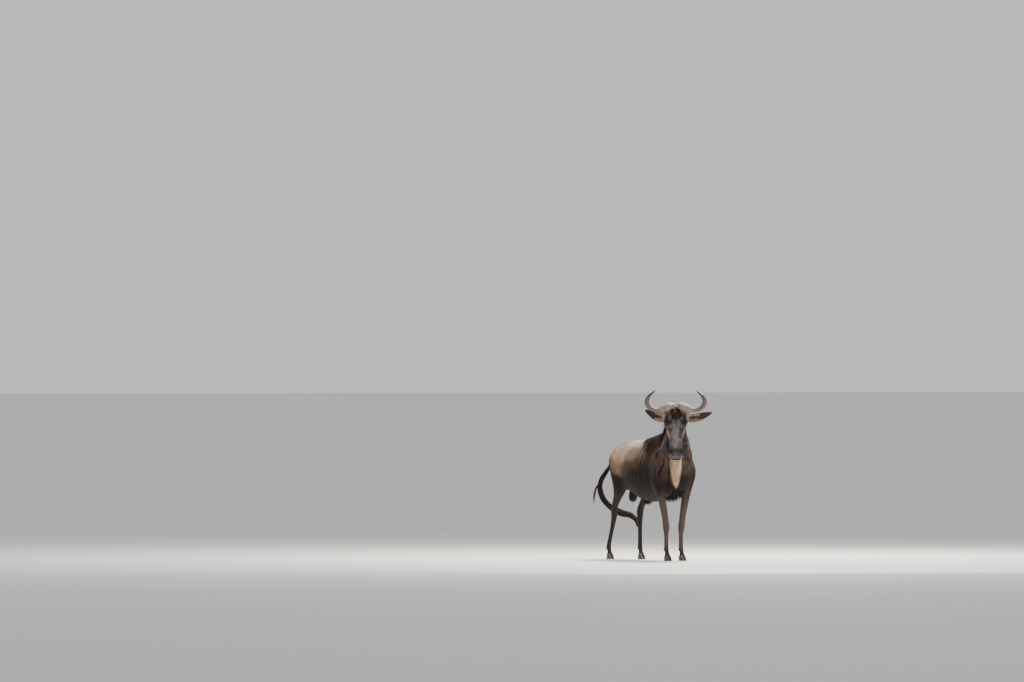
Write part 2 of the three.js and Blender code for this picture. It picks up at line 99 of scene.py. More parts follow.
camera.rotation_euler = (tilt, 0, turn)

# Studio. A wide pale floor and a pale sky, a broad lamp high up behind the bull's left side, and a soft fill
# from the camera's side.
FLOOR_REACH = 400
FLOOR_COLOUR, FLOOR_ROUGHNESS = (0.74, 0.72, 0.68, 1), 0.9
SKY_COLOUR, SKY_STRENGTH = (0.93, 0.95, 1.0, 1), 0.75


def set_inputs(node, values):
    for name, value in values.items():
        node.inputs[name].default_value = value


floor_mesh = bpy.data.meshes.new("floor")
floor_corners = [(x * FLOOR_REACH, y * FLOOR_REACH, 0) for x, y in ((-1, -1), (1, -1), (1, 1), (-1, 1))]
floor_mesh.from_pydata(floor_corners, [], [(0, 1, 2, 3)])
floor = placed("floor", floor_mesh)
floor_material = bpy.data.materials.new("floor")
floor_material.use_nodes = True
floor_shader = floor_material.node_tree.nodes["Principled BSDF"]
set_inputs(floor_shader, {"Base Color": FLOOR_COLOUR, "Roughness": FLOOR_ROUGHNESS})
floor_mesh.materials.append(floor_material)

world = bpy.data.worlds.new("studio")
world.use_nodes = True
set_inputs(world.node_tree.nodes["Background"], {"Color": SKY_COLOUR, "Strength": SKY_STRENGTH})
bpy.context.scene.world = world


def lamp(name, watts, size, place, aim, colour):
    light = bpy.data.lights.new(name, "AREA")
    light.energy, light.size, light.color = watts, size, colour
    holder = placed(name, light)
    holder.location = place
    holder.rotation_euler = (Vector(place) - Vector(aim)).to_track_quat("Z", "Y").to_euler()
    holder.visible_camera = False


lamp("key", 1550, 3.0, (2.4, 1.2, 6.5), (0, 0, 0.9), (1.0, 0.95, 0.87))
lamp("fill", 160, 4.0, (-1.5, -6.0, 2.6), (0, 0, 0.9), (0.95, 0.97, 1.0))

# Skin. One hide covers trunk, neck, head, ears, legs, dock and scrotum. It is cast from the solids of the
# frame, run together so that no join shows, drawn in by the depth of the coat, and then sculpted over muscle
# and bone.
GRID = 0.009
COAT_DEPTH = 0.005
FACE_DEPTH = 0.002
HIDE_ENDS = 0.049
LEG_NODES = ["foreleg_right", "foreleg_left", "hindleg_right", "hindleg_left"]

grid_low = np.floor(np.array(cad_box[0]) / GRID).astype(int) - 6
grid_shape = np.ceil(np.array(cad_box[1]) / GRID).astype(int) + 6 - grid_low


def smoothstep(low, high, x):
    t = np.clip((x - low) / (high - low), 0, 1)
    return t * t * (3 - 2 * t)


def unit(v):
    return v / np.maximum(np.linalg.norm(v, axis=-1, keepdims=True), 1e-9)


def read_mesh(items, key, width, kind=np.float32):
    """One value of every vertex, loop or triangle of a mesh, in rows."""
    values = np.empty(len(items) * width, kind)
    items.foreach_get(key, values)
    return values.reshape(-1, width)


def smooth(mesh):
    mesh.polygons.foreach_set("use_smooth", np.ones(len(mesh.polygons), bool))


def distances(points, triangles, quads=None, reach=10):
    """A closed form as signed distances on the grid, negative inside."""
    volume = openvdb.FloatGrid.createLevelSetFromPolygons(
        points.astype(np.float32), triangles, quads, openvdb.createLinearTransform(GRID), reach)
    dense = np.empty(tuple(grid_shape), np.float32)
    volume.copyToArray(dense, tuple(int(i) for i in grid_low))
    return dense


def outline(dense, level=0.0):
    """The surface at a level of a grid, as points, triangles and quads."""
    volume = openvdb.FloatGrid(float(dense.max()))
    volume.transform = openvdb.createLinearTransform(GRID)
    volume.copyFromArray(dense, tuple(int(i) for i in grid_low))
    return volume.convertToPolygons(level, 0)


def run_together(nodes):
    """Frame nodes as one solid, with the thin cuts between them closed."""
    whole = None
    for name in nodes:
        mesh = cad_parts[name].data
        mesh.calc_loop_triangles()
        corners = read_mesh(mesh.loop_triangles, "vertices", 3, np.uint32)
        field = distances(read_mesh(mesh.vertices, "co", 3), corners)
        whole = field if whole is None else np.minimum(whole, field)
    points, triangles, quads = outline(whole, 0.001)
    return distances(points, triangles, quads) + 0.001


def soften(dense, sigma):
    """A grid blurred over sigma metres."""
    reach = math.ceil(2.5 * sigma / GRID)
    weights = np.exp(-0.5 * (np.arange(-reach, reach + 1) * GRID / sigma) ** 2)
    for axis in range(3):
        padded = np.pad(dense, [(reach, reach) if k == axis else (0, 0) for k in range(3)], "edge")
        dense = sum(
            weight * np.take(padded, range(i, i + grid_shape[axis]), axis)
            for i, weight in enumerate(weights / weights.sum())
        )
    return dense.astype(np.float32)


def read_grids(p, *grids):
    """The values of grids at points, between their nodes too."""
    place = np.clip(p / GRID - grid_low, 0, grid_shape - 1.001)
    cell = place.astype(int)
    part = place - cell
    first = np.ravel_multi_index(tuple(cell.T), tuple(grid_shape))
    values = [0] * len(grids)
    for dx, dy, dz in np.ndindex(2, 2, 2):
        share = np.abs(1 - dx - part[:, 0]) * np.abs(1 - dy - part[:, 1]) * np.abs(1 - dz - part[:, 2])
        at = first + (dx * grid_shape[1] + dy) * grid_shape[2] + dz
        values = [value + share * dense.ravel()[at] for value, dense in zip(values, grids)]
    return values


def joined(a, b, fillet):
    """Two distances as one form, with a fillet where they meet."""
    t = np.clip(0.5 + 0.5 * (b - a) / fillet, 0, 1)
    return b + (a - b) * t - fillet * t * (1 - t)


def carved(a, b, fillet):
    """A form with another cut out of it."""
    return -joined(-a, b, fillet)


def bump(p, centre, reach):
    """1 at a centre, fading over its reach in each direction."""
    return np.exp(-(((p - np.array(centre)) / np.array(reach)) ** 2).sum(1))


def each_lift(p, forms):
    """What each of some forms adds at points. A form is how far it stands out, its middle and its reach."""
    for out_by, *box in forms:
        yield out_by * bump(p, box[:3], box[3:])


def one_side(p):
    """Points of the right half brought over to the left half."""
    return np.stack([np.abs(p[:, 0]), p[:, 1], p[:, 2]], 1)


# Body landmarks: the middle plane, and the fore feet, from which lengths run back.
MIDDLE_X = forefeet.x
FOREFEET_Y = forefeet.y + 0.0376


def on_body(p):
    """Points as (left of the middle, back from the fore feet, height)."""
    return p - np.array((MIDDLE_X, FOREFEET_Y, 0))


HOOF_NODES = [f"{end}hoof_{side}_{which}" for end in ("fore", "hind") for side in ("right", "left")
              for which in ("outer", "inner")]
body = soften(run_together(["trunk", "neck", "head", *LEG_NODES, "tail_dock", "scrotum", "sheath"]), 0.019)
limbs_soft = soften(run_together([*LEG_NODES, *HOOF_NODES, "tail_dock", "scrotum", "sheath"]), 0.006)

# The head's own frame, from the two eyes: left, ahead along the face, and above it.
HEAD_DROOP = math.radians(61)
EYE_AHEAD, EYE_ABOVE = 0.121, 0.035
eye_centres = [np.array(sum(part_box(f"eye_{side}"), Vector()) / 2) for side in ("right", "left")]
head_left = eye_centres[1] - eye_centres[0]
EYE_OUT = np.linalg.norm(head_left) / 2
head_left = head_left / np.linalg.norm(head_left)
head_level = np.cross(head_left, (0, 0, 1))
UP = np.array((0, 0, 1))
head_ahead = math.cos(HEAD_DROOP) * head_level - math.sin(HEAD_DROOP) * UP
head_above = math.sin(HEAD_DROOP) * head_level + math.cos(HEAD_DROOP) * UP
head_origin = sum(eye_centres) / 2 - EYE_AHEAD * head_ahead - EYE_ABOVE * head_above
HEAD_AXES = np.stack([head_left, head_ahead, head_above], axis=1)


def to_head(p):
    """Points as (left, ahead, above) on the head."""
    return (p - head_origin) @ HEAD_AXES


def from_crown(out, forward, rise):
    """A place on the upright crown, where horns and ears are measured."""
    axes = np.stack([head_left, head_level, UP])
    return head_origin + np.stack(np.broadcast_arrays(out, forward, rise), -1) @ axes


# Stations along the head from the skull to the lips, and along the lower jaw to the chin, as in the frame:
# ahead, middle, half width, above, below, squareness.
SKULL = np.array([
    (-0.046, -0.014, 0.058, 0.060, 0.044, 2.2),
    (-0.012, -0.004, 0.084, 0.082, 0.066, 2.3),
    (0.055, 0, 0.100, 0.091, 0.094, 2.3),
    (0.120, 0, 0.101, 0.090, 0.120, 2.3),
    (0.190, 0, 0.082, 0.083, 0.124, 2.3),
    (0.265, 0, 0.068, 0.076, 0.098, 2.4),
    (0.340, 0, 0.063, 0.071, 0.068, 2.5),
    (0.405, 0, 0.069, 0.068, 0.050, 2.6),
    (0.455, 0, 0.078, 0.062, 0.040, 2.6),
    (0.488, 0.008, 0.073, 0.042, 0.027, 2.5),
    (0.504, 0.013, 0.056, 0.023, 0.018, 2.3),
])
JAW = np.array([
    (0.255, -0.084, 0.052, 0.034, 0.022, 2.0),
    (0.330, -0.068, 0.048, 0.028, 0.025, 2.0),
    (0.400, -0.058, 0.048, 0.026, 0.026, 2.0),
    (0.455, -0.046, 0.056, 0.026, 0.030, 2.2),
    (0.488, -0.036, 0.053, 0.025, 0.028, 2.2),
    (0.507, -0.032, 0.038, 0.019, 0.020, 2.0),
])
MOUTH_LINE = (0.36, 0.42, 0.47, 0.51), (-0.054, -0.036, -0.018, -0.007)


def through_stations(stations, shares):
    """Stations' values at shares of the way along, smoothly."""
    last = len(stations) - 1
    i = np.minimum((shares * last).astype(int), last - 1)
    t = (shares * last - i)[:, None]
    a, b, c, d = (stations[np.clip(i + k, 0, last)] for k in (-1, 0, 1, 2))
    return b + 0.5 * t * (c - a + t * (2 * a - 5 * b + 4 * c - d + t * (3 * (b - c) + d - a)))


def lofted(q, stations):
    """Distance from a form through stations, in the head's frame."""
    fine = through_stations(stations, np.linspace(0, 1, 240))
    middle, wide, up, down, square = (np.interp(q[:, 1], fine[:, 0], fine[:, k]) for k in range(1, 6))
    rise = q[:, 2] - middle
    tall = np.where(rise > 0, up, down)
    ratio = ((np.abs(q[:, 0]) / wide) ** square + (np.abs(rise) / tall) ** square) ** (1 / square)
    radius = np.hypot(q[:, 0], rise)
    round_it = radius - radius / np.maximum(ratio, 1e-6)
    round_it = np.where(radius < 1e-6, -np.minimum(wide, tall), round_it)
    past = np.maximum(q[:, 1] - stations[-1, 0], stations[0, 0] - q[:, 1])
    return -joined(-round_it, -past, 0.012)


EYE_PLACE = np.array((EYE_OUT, EYE_AHEAD, EYE_ABOVE))
EYE_RADIUS = 0.0185
LID_RADIUS = 0.0222
EYE_LOOK = unit(np.array((0.83, 0.27, 0.48)))
EYE_ALONG = unit(np.array((0, 1, 0)) - EYE_LOOK[1] * EYE_LOOK)
EYE_OVER = np.cross(EYE_LOOK, EYE_ALONG)


def lid_opening(v):
    """How far a direction from the eye's middle lies outside the almond between the lids."""
    along = v @ EYE_ALONG
    over = v @ EYE_OVER - 0.03 + 0.12 * along
    width = np.sqrt(np.clip(1 - (along / 0.80) ** 2, 0, 1)) ** 1.3
    almond = np.abs(over) - 0.52 * width + 1.5 * np.clip(np.abs(along) - 0.80, 0, 1)
    return np.where(v @ EYE_LOOK > 0, almond, 1.0)


# Bone, muscle and hollows of the face, in millimetres: how far each stands out, its middle as (out, ahead,
# above), and its reach each way.
FACE_RELIEF = np.array([
    (13, 80, 98, 74, 24, 34, 20), (13, 100, 125, 6, 30, 42, 24), (7, 75, 190, -65, 50, 60, 50),
    (-6, 70, 270, -10, 30, 80, 22), (4, 66, 250, 28, 20, 90, 10), (-3, 0, 300, 78, 12, 120, 30),
    (8, 0, 60, 95, 50, 50, 30), (-5, 74, 178, 18, 20, 16, 12), (7, 58, 448, 40, 24, 28, 22),
]) / 1000


def head_form(p, mouth):
    """Distance from the whole head. The mouth is a line between the lips, as deep as mouth says."""
    q = to_head(p)
    m = one_side(q)
    out = m[:, 0]
    f = lofted(q, SKULL)
    for lift in each_lift(m, FACE_RELIEF):
        f = f - lift
    # Lids and orbit
    eye = m - EYE_PLACE
    reach = np.linalg.norm(eye, axis=1)
    f = joined(f, reach - LID_RADIUS - 0.001, 0.008)
    outside = lid_opening(eye / np.maximum(reach, 1e-6)[:, None])
    crease = np.exp(-((outside - 0.22) / 0.07) ** 2) * np.exp(-((reach - LID_RADIUS) / 0.006) ** 2)
    f = f + 0.0016 * crease
    f = carved(f, np.maximum(outside * reach, np.maximum(0.0160 - reach, reach - 0.036)), 0.0012)
    # Lower jaw, lips and mouth
    f = joined(f, lofted(q, JAW), 0.004)
    line = np.interp(q[:, 1], *MOUTH_LINE)
    lips = np.abs(q[:, 2] - line)
    near_mouth = smoothstep(0.375, 0.405, q[:, 1])
    f = f - 0.003 * near_mouth * np.exp(-((lips - 0.011) / 0.007) ** 2)
    f = f + mouth * near_mouth * np.exp(-(lips / 0.0030) ** 2)
    # Nostrils, wide slits that curl up and out at the front corners of the muzzle
    along = np.clip((out - 0.022) / 0.034, 0, 1)
    centre = np.stack([0.022 + 0.034 * along, 0.482 - 0.034 * along ** 2, 0.046 + 0.006 * np.sqrt(along)], 1)
    nostril = np.linalg.norm((m - centre) / np.array((1, 1.5, 0.9)), axis=1)
    f = f - 0.005 * np.exp(-((nostril - 0.013) / 0.006) ** 2)
    f = carved(f, nostril - 0.0085, 0.004)
    # Root of each ear
    way_out = np.array((0.93, -0.33, -0.1))
    root = m - np.array((0.088, 0.024, 0.006))
    reach_out = np.clip(root @ way_out, 0, 0.035)
    mound = np.linalg.norm(root - reach_out[:, None] * way_out, axis=1)
    return joined(f, mound - (0.030 - 0.25 * reach_out), 0.02)


def near_head(p):
    q = to_head(p)
    return (np.abs(q[:, 0]) < 0.2) & (q[:, 1] > -0.15) & (q[:, 1] < 0.6) & (np.abs(q[:, 2]) < 0.24)


def face_share(p):
    """1 on the face, fading to 0 behind the jaw and poll."""
    q = to_head(p)
    return smoothstep(-0.02, 0.08, q[:, 1]) * smoothstep(-0.19, -0.14, q[:, 2]) * near_head(p)


# The same on the body, from shoulder blade to thigh, with middles as (off the middle plane, back, height).
BODY_RELIEF = np.array([
    (12, 170, 20, 800, 60, 60, 100), (10, 170, -70, 860, 60, 35, 90), (-12, 180, 140, 900, 60, 30, 160),
    (13, 150, 800, 1075, 35, 30, 30), (-16, 180, 700, 1020, 50, 50, 70), (12, 170, 880, 920, 60, 80, 90),
    (-8, 170, 985, 900, 50, 22, 100), (8, 160, 720, 720, 50, 35, 50), (10, 140, 790, 670, 60, 90, 100),
    (5, 0, 840, 570, 70, 70, 70),
]) / 1000


def muscle(p):
    """How far muscle, bone and tendon lift the body's surface."""
    m = one_side(on_body(p))
    lift = sum(each_lift(m, BODY_RELIEF))
    ribs = np.sin((m[:, 1] + 0.18 * (m[:, 2] - 0.9)) / 0.0115)
    lift += 0.0018 * ribs * bump(m, (0.20, 0.42, 0.84), (0.08, 0.16, 0.12))
    return lift


def skin_field(p, mouth=0.0045):
    """Signed distance from the finished skin."""
    on_trunk, on_limbs = read_grids(p, body, limbs_soft)
    high = smoothstep(0.50, 0.74, p[:, 2])
    forward_of_dock = smoothstep(1.03, 0.93, p[:, 1] - FOREFEET_Y)
    only_limbs = 0.03 * smoothstep(0.54, 0.36, p[:, 2])
    at_scrotum = bump(on_body(p), (0, 0.84, 0.62), (0.07, 0.08, 0.14))
    sunk = 0.012 * high * forward_of_dock * (1 - at_scrotum)
    fuller = 0.0035 * smoothstep(0.10, 0.20, p[:, 2]) + 0.003 * at_scrotum
    f = joined(on_trunk + only_limbs, on_limbs + sunk - fuller, 0.012)
    face = face_share(p)
    f = f + 0.012 * face
    close = near_head(p)
    f[close] = joined(f[close], head_form(p[close], mouth), 0.022)
    depth = COAT_DEPTH + (FACE_DEPTH - COAT_DEPTH) * np.maximum(face, smoothstep(0.62, 0.45, p[:, 2]))
    return carved(f + depth - muscle(p), p[:, 2] - HIDE_ENDS, 0.004)


whole = np.minimum(body, limbs_soft)
by_skin = np.flatnonzero(np.abs(whole) < 5 * GRID)
places = (np.stack(np.unravel_index(by_skin, whole.shape), 1) + grid_low) * GRID
whole.ravel()[by_skin] = skin_field(places, 0)
points, triangles, quads = outline(np.clip(whole, -4 * GRID, 4 * GRID))

skin_mesh = bpy.data.meshes.new("skin")
skin_mesh.from_pydata(points.tolist(), [], triangles.tolist() + quads.tolist())
skin = placed("skin", skin_mesh)
work = bmesh.new()
work.from_mesh(skin_mesh)
bmesh.ops.recalc_face_normals(work, faces=work.faces)


def keep_largest(shape):
    """Drops every loose crumb and keeps the one large body."""
    left, islands = set(shape.verts), []
    while left:
        island, edge_of = set(), [left.pop()]
        while edge_of:
            corner = edge_of.pop()
            island.add(corner)
            near = {edge.other_vert(corner) for edge in corner.link_edges} & left
            left -= near
            edge_of.extend(near)
        islands.append(island)
    islands.sort(key=len)
    bmesh.ops.delete(shape, geom=[corner for island in islands[:-1] for corner in island], context="VERTS")


keep_largest(work)


def points_of(corners):
    return np.array([corner.co for corner in corners])


def settle(rounds, ease, chosen, mouth=0):
    """Eases chosen points along the surface, each round brought back onto the skin."""
    work.verts.index_update()
    places = points_of(work.verts)
    edges = np.array([(edge.verts[0].index, edge.verts[1].index) for edge in work.edges])
    ends, starts = np.concatenate([edges, edges[:, ::-1]]).T
    count = np.maximum(np.bincount(ends, minlength=len(places)), 1)[:, None]
    moving = np.flatnonzero(chosen(places))
    work.verts.ensure_lookup_table()
    corners = [work.verts[i] for i in moving]
    for k in range(rounds + 1):
        sums = [np.bincount(ends, places[starts, axis], len(places)) for axis in range(3)]
        if k < rounds:
            places[moving] += ease * (np.stack(sums, 1) / count - places)[moving]
        for corner, place in zip(corners, places[moving]):
            corner.co = place
        work.normal_update()
        normals = np.array([corner.normal for corner in corners])
        for _ in range(2):
            off = skin_field(places[moving], mouth)
            rises = skin_field(places[moving] + 0.0005 * normals, mouth) > off
            places[moving] -= (np.clip(0.85 * off, -0.003, 0.003) * rises)[:, None] * normals
    for corner, place in zip(corners, places[moving]):
        corner.co = place


def refine(share):
    """Halves the mesh wherever share holds."""
    wanted = share(points_of(work.verts))
    work.verts.index_update()
    edges = [e for e in work.edges if wanted[e.verts[0].index] and wanted[e.verts[1].index]]
    bmesh.ops.subdivide_edges(work, edges=edges, cuts=1, use_grid_fill=True)


def around_eyes(p, reach):
    return np.linalg.norm(one_side(to_head(p)) - EYE_PLACE, axis=1) < reach


def on_muzzle(p, ahead, above):
    q = to_head(p)
    return near_head(p) & (q[:, 1] > ahead) & (q[:, 2] > above)


settle(3, 0.5, lambda p: p[:, 2] > -1)
refine(lambda p: on_muzzle(p, -0.03, -1))
settle(3, 0.4, lambda p: on_muzzle(p, -0.06, -1))
refine(lambda p: around_eyes(p, 0.05) | on_muzzle(p, 0.37, -1))
settle(3, 0.4, lambda p: around_eyes(p, 0.06) | on_muzzle(p, 0.35, -1))
refine(lambda p: around_eyes(p, 0.034) | on_muzzle(p, 0.39, -0.075))
settle(3, 0.35, lambda p: around_eyes(p, 0.045) | on_muzzle(p, 0.38, -0.09), 0.0045)

# Ears. Cupped leaves of gristle and hide that open forward, grown out of the head behind the horns. The right
# one swings back in line with its horn.
EAR_LENGTH, EAR_HALF_WIDTH, EAR_WALL = 0.262, 0.045, 0.0034
EAR_OUT, EAR_FORWARD = 0.088, 0.022
EARS = {
    -1: {"height": -0.056, "roll": 0, "rise": 0.12, "back": 0.67, "lift": 0.050},
    1: {"height": -0.054, "roll": 0.5, "rise": 0.03, "back": 0.08, "lift": 0.055},
}
EAR_RINGS, EAR_AROUND = 46, 36


def ear_points(side, share, across, on_back, wall):
    """Places on an ear: along it, across its leaf from edge to edge, and on its back or in its hollow."""
    aim = EARS[side]
    leaf = np.sin(np.pi * np.clip(0.16 + 0.84 * share, 0.001, 1)) ** 0.62
    half = EAR_HALF_WIDTH * leaf
    cup = (0.028 - 0.024 * share) * (1 - across ** 2)
    folds = 0.0016 * np.cos(across * 9) * smoothstep(0.05, 0.3, share) * (1 - share) * (on_back < 0)
    local = np.stack([
        side * share * EAR_LENGTH,
        cup + wall * (1 - 0.5 * share) * on_back + folds,
        across * half + aim["lift"] * share ** 2,
    ], -1)
    turned = Matrix.Rotation(side * aim["back"], 3, "Z")
    turned = turned @ Matrix.Rotation(-side * aim["rise"], 3, "Y") @ Matrix.Rotation(aim["roll"], 3, "X")
    out, back, rise = np.moveaxis(local @ np.array(turned).T, -1, 0)
    return from_crown(side * EAR_OUT + out, EAR_FORWARD - back, aim["height"] + rise)


def ear_form(side):
    share, angle = np.meshgrid(
        np.linspace(-0.12, 1, EAR_RINGS), np.arange(EAR_AROUND) * 2 * np.pi / EAR_AROUND, indexing="ij")
    places = ear_points(side, share, np.cos(angle), np.sin(angle), EAR_WALL).reshape(-1, 3)
    mesh = bpy.data.meshes.new("ear")
    rings = [[r * EAR_AROUND + i for i in range(EAR_AROUND)] for r in range(EAR_RINGS)]
    faces = [
        (low[i - 1], low[i], high[i], high[i - 1])
        for low, high in zip(rings, rings[1:]) for i in range(EAR_AROUND)
    ]
    mesh.from_pydata(places.tolist(), [], faces + [rings[0][::-1], rings[-1]])
    shape = bmesh.new()
    shape.from_mesh(mesh)
    bmesh.ops.triangulate(shape, faces=[f for f in shape.faces if len(f.verts) > 4])
    bmesh.ops.recalc_face_normals(shape, faces=shape.faces)
    shape.to_mesh(mesh)
    shape.free()
    return mesh


bmesh.ops.triangulate(work, faces=[f for f in work.faces if len(f.verts) > 4])
work.to_mesh(skin_mesh)
work.free()
for side in EARS:
    ear = placed("ear", ear_form(side))
    union = skin.modifiers.new("ear", "BOOLEAN")
    union.operation, union.solver, union.object = "UNION", "MANIFOLD", ear
    bpy.context.view_layer.update()
    whole_skin = bpy.data.meshes.new_from_object(skin.evaluated_get(bpy.context.evaluated_depsgraph_get()))
    skin.modifiers.remove(union)
    skin.data = whole_skin
    bpy.data.objects.remove(ear)
skin_mesh = skin.data
skin_mesh.materials.clear()

# The ears' roots are eased into the head.
work = bmesh.new()
work.from_mesh(skin_mesh)
places = points_of(work.verts)
by_ears = np.abs(to_head(places)[:, 0]) > 0.06
on_ear = np.zeros(len(places), bool)
on_ear[by_ears] = np.abs(skin_field(places[by_ears])) > 0.0012
on_ear &= near_head(places) & (to_head(places)[:, 1] < 0.09)
work.verts.index_update()
seam = [
    (edge.verts[0].co + edge.verts[1].co) / 2 for edge in work.edges
    if on_ear[edge.verts[0].index] != on_ear[edge.verts[1].index]
]
seam_tree = KDTree(len(seam))
for i, place in enumerate(seam):
    seam_tree.insert(place, i)
seam_tree.balance()
eased = [v for v in work.verts if by_ears[v.index] and seam_tree.find(v.co)[2] < 0.012]
for _ in range(6):
    bmesh.ops.smooth_vert(work, verts=eased, factor=0.5, use_axis_x=True, use_axis_y=True, use_axis_z=True)
work.to_mesh(skin_mesh)
work.free()
smooth(skin_mesh)

# The hide is laid out flat, as a skinner opens it, so that colours can be kept on it.
bpy.context.view_layer.objects.active = skin
skin.select_set(True)
bpy.ops.object.mode_set(mode="EDIT")
bpy.ops.mesh.select_all(action="SELECT")
bpy.ops.uv.smart_project(angle_limit=math.radians(66), island_margin=0.002)
bpy.ops.object.mode_set(mode="OBJECT")
skin.select_set(False)
skin_mesh.uv_layers[0].name = "OFBake"

skin_places = read_mesh(skin_mesh.vertices, "co", 3).astype(float)
skin_normals = read_mesh(skin_mesh.vertices, "normal", 3).astype(float)


def ear_share(p):
    """1 out on an ear, 0 on the head."""
    q = to_head(p)
    out = np.abs(q[:, 0])
    by_root = smoothstep(0.098, 0.118, out) * (q[:, 1] < 0.105) * near_head(p)
    return by_root + (out >= 0.2) * (p[:, 2] > 1.25)


hollow = ear_share(skin_places) * smoothstep(-0.1, 0.35, skin_normals @ head_level)


def keep_on_mesh(mesh, name, values):
    """Keeps a value or a vector for each point of a mesh, for its material."""
    kind, key = ("FLOAT_VECTOR", "vector") if values.ndim == 2 else ("FLOAT", "value")
    mesh.attributes.new(name, kind, "POINT").data.foreach_set(key, values.astype(np.float32).ravel())


keep_on_mesh(skin_mesh, "root", skin_places)
keep_on_mesh(skin_mesh, "hollow", hollow)

# Colouring of the hide. Pale grey-tan on the back, brown on the flank and near black below, partly the coat's
# own colour and partly painted sunlight on the back and painted shade low on the body, with dark brindle bars
# over neck and shoulder, a grey-black face with tan cheeks and a painted highlight down its bridge, and brown
# legs. Hide and coat both take it from here.


def paint(red, green, blue):
    """A colour as a painter mixes it, 0 to 255, as the light that it sends back."""
    return (*((c / 255) ** 2.2 for c in (red, green, blue)), 1)


class Bench:
    """Lays out the nodes of one tree."""

    def __init__(self, tree):
        self.tree = tree

    def add(self, kind, wires=(), **settings):
        node = self.tree.nodes.new("ShaderNode" + kind)
        for name, value in settings.items():
            setattr(node, name, value)
        for socket, value in dict(wires).items():
            if isinstance(value, bpy.types.NodeSocket):
                self.tree.links.new(value, node.inputs[socket])
            else:
                node.inputs[socket].default_value = value
        return node

    def math(self, operation, *values):
        return self.add("Math", enumerate(values), operation=operation).outputs[0]

    def dot(self, vector, axis):
        wires = {0: vector, 1: tuple(axis)}
        return self.add("VectorMath", wires, operation="DOT_PRODUCT").outputs["Value"]

    def fade(self, value, low, high, to_low=0.0, to_high=1.0):
        """Rises smoothly from one value to another as value goes from low to high."""
        wires = {0: value, 1: low, 2: high, 3: to_low, 4: to_high}
        return self.add("MapRange", wires, interpolation_type="SMOOTHSTEP").outputs[0]

    def blend(self, share, a, b, kind="MIX"):
        wires = {0: share, 6: a, 7: b}
        return self.add("Mix", wires, data_type="RGBA", blend_type=kind).outputs[2]

    def noise(self, vector, scale, detail=2.0, rough=0.5):
        wires = {"Vector": vector, "Scale": scale, "Detail": detail, "Roughness": rough}
        return self.add("TexNoise", wires).outputs[0]

    def plus(self, a, b):
        return self.math("ADD", a, b)

    def minus(self, a, b):
        return self.math("SUBTRACT", a, b)

    def times(self, *values):
        product = values[0]
        for value in values[1:]:
            product = self.math("MULTIPLY", product, value)
        return product

    def scaled(self, vector, by):
        return self.add("VectorMath", {0: vector, 1: by}, operation="MULTIPLY").outputs[0]

    def kept(self, name, output="Fac"):
        """What the mesh keeps for each of its points."""
        return self.add("Attribute", attribute_name=name).outputs[output]

    def feed(self, value, socket):
        self.tree.links.new(value, socket)

    def relief(self, shader, height, strength, depth):
        """Fine relief on a shader's surface."""
        wires = {"Height": height, "Strength": strength, "Distance": depth}
        self.feed(self.add("Bump", wires).outputs[0], shader.inputs["Normal"])


def new_group(name, inputs, outputs):
    """An empty shader group with its sockets, and its bench, way in and way out."""
    tree = bpy.data.node_groups.new(name, "ShaderNodeTree")
    for way, sockets in (("INPUT", inputs), ("OUTPUT", outputs)):
        for socket, kind in sockets.items():
            tree.interface.new_socket(socket, in_out=way, socket_type=f"NodeSocket{kind}")
    bench = Bench(tree)
    return bench, tree.nodes.new("NodeGroupInput").outputs, tree.nodes.new("NodeGroupOutput").inputs


bench, given, made = new_group(
    "hide colouring", {"Place": "Vector", "Hollow": "Float"}, {"Colour": "Color", "Face": "Float"})
place = given["Place"]
broad = bench.minus(bench.noise(place, 5.0, 3.0), 0.5)
fine = bench.minus(bench.noise(place, 28.0, 3.0), 0.5)
left = bench.minus(bench.dot(place, (1, 0, 0)), MIDDLE_X)
back = bench.minus(bench.dot(place, (0, 1, 0)), FOREFEET_Y)
height = bench.dot(place, UP)
wavy = bench.plus(height, bench.plus(bench.times(broad, 0.22), bench.times(fine, 0.07)))
head_side, head_along, head_over = (
    bench.minus(bench.dot(place, axis), float(head_origin @ axis)) for axis in HEAD_AXES.T)
aside = bench.math("ABSOLUTE", head_side)

# From top to bottom the back, rump and fore parts run from pale to near black: partly the coat's own colour,
# partly painted sunlight on top and painted shade low on the body.
pale_and_sunlit, tan, brown, dark_and_shaded = paint(226, 208, 186), paint(158, 132, 112), paint(84, 67, 58), paint(24, 19, 18)
lower = bench.minus(wavy, bench.fade(back, 0.66, 0.16, 0.0, 0.08))
coat = bench.blend(bench.fade(lower, 1.13, 1.01), pale_and_sunlit, tan)
coat = bench.blend(bench.fade(lower, 1.02, 0.91), coat, brown)
coat = bench.blend(bench.fade(lower, 0.94, 0.80), coat, dark_and_shaded)
rump = bench.blend(bench.fade(wavy, 1.04, 0.90), paint(196, 170, 146), paint(128, 101, 86))
rump = bench.blend(bench.fade(wavy, 0.90, 0.81), rump, dark_and_shaded)
rump = bench.blend(bench.times(bench.fade(back, 0.93, 1.0), bench.fade(wavy, 1.06, 0.96), 0.75), rump, dark_and_shaded)
coat = bench.blend(bench.fade(back, 0.62, 0.80), coat, rump)
fore = bench.blend(bench.fade(wavy, 1.24, 1.04), paint(138, 117, 103), paint(84, 68, 60))
fore = bench.blend(bench.fade(wavy, 0.96, 0.76), fore, paint(42, 34, 32))
coat = bench.blend(bench.fade(back, 0.36, -0.06), coat, fore)
BAR_SPACING = 0.058
bars_at = bench.plus(bench.plus(back, bench.times(height, 0.30)), bench.times(broad, 0.15))
bars = bench.math("SINE", bench.times(bars_at, 2 * math.pi / BAR_SPACING))
bars = bench.plus(bars, bench.plus(bench.times(fine, 2.4), bench.times(broad, 1.5)))
bars = bench.fade(bars, 0.1, 1.0)
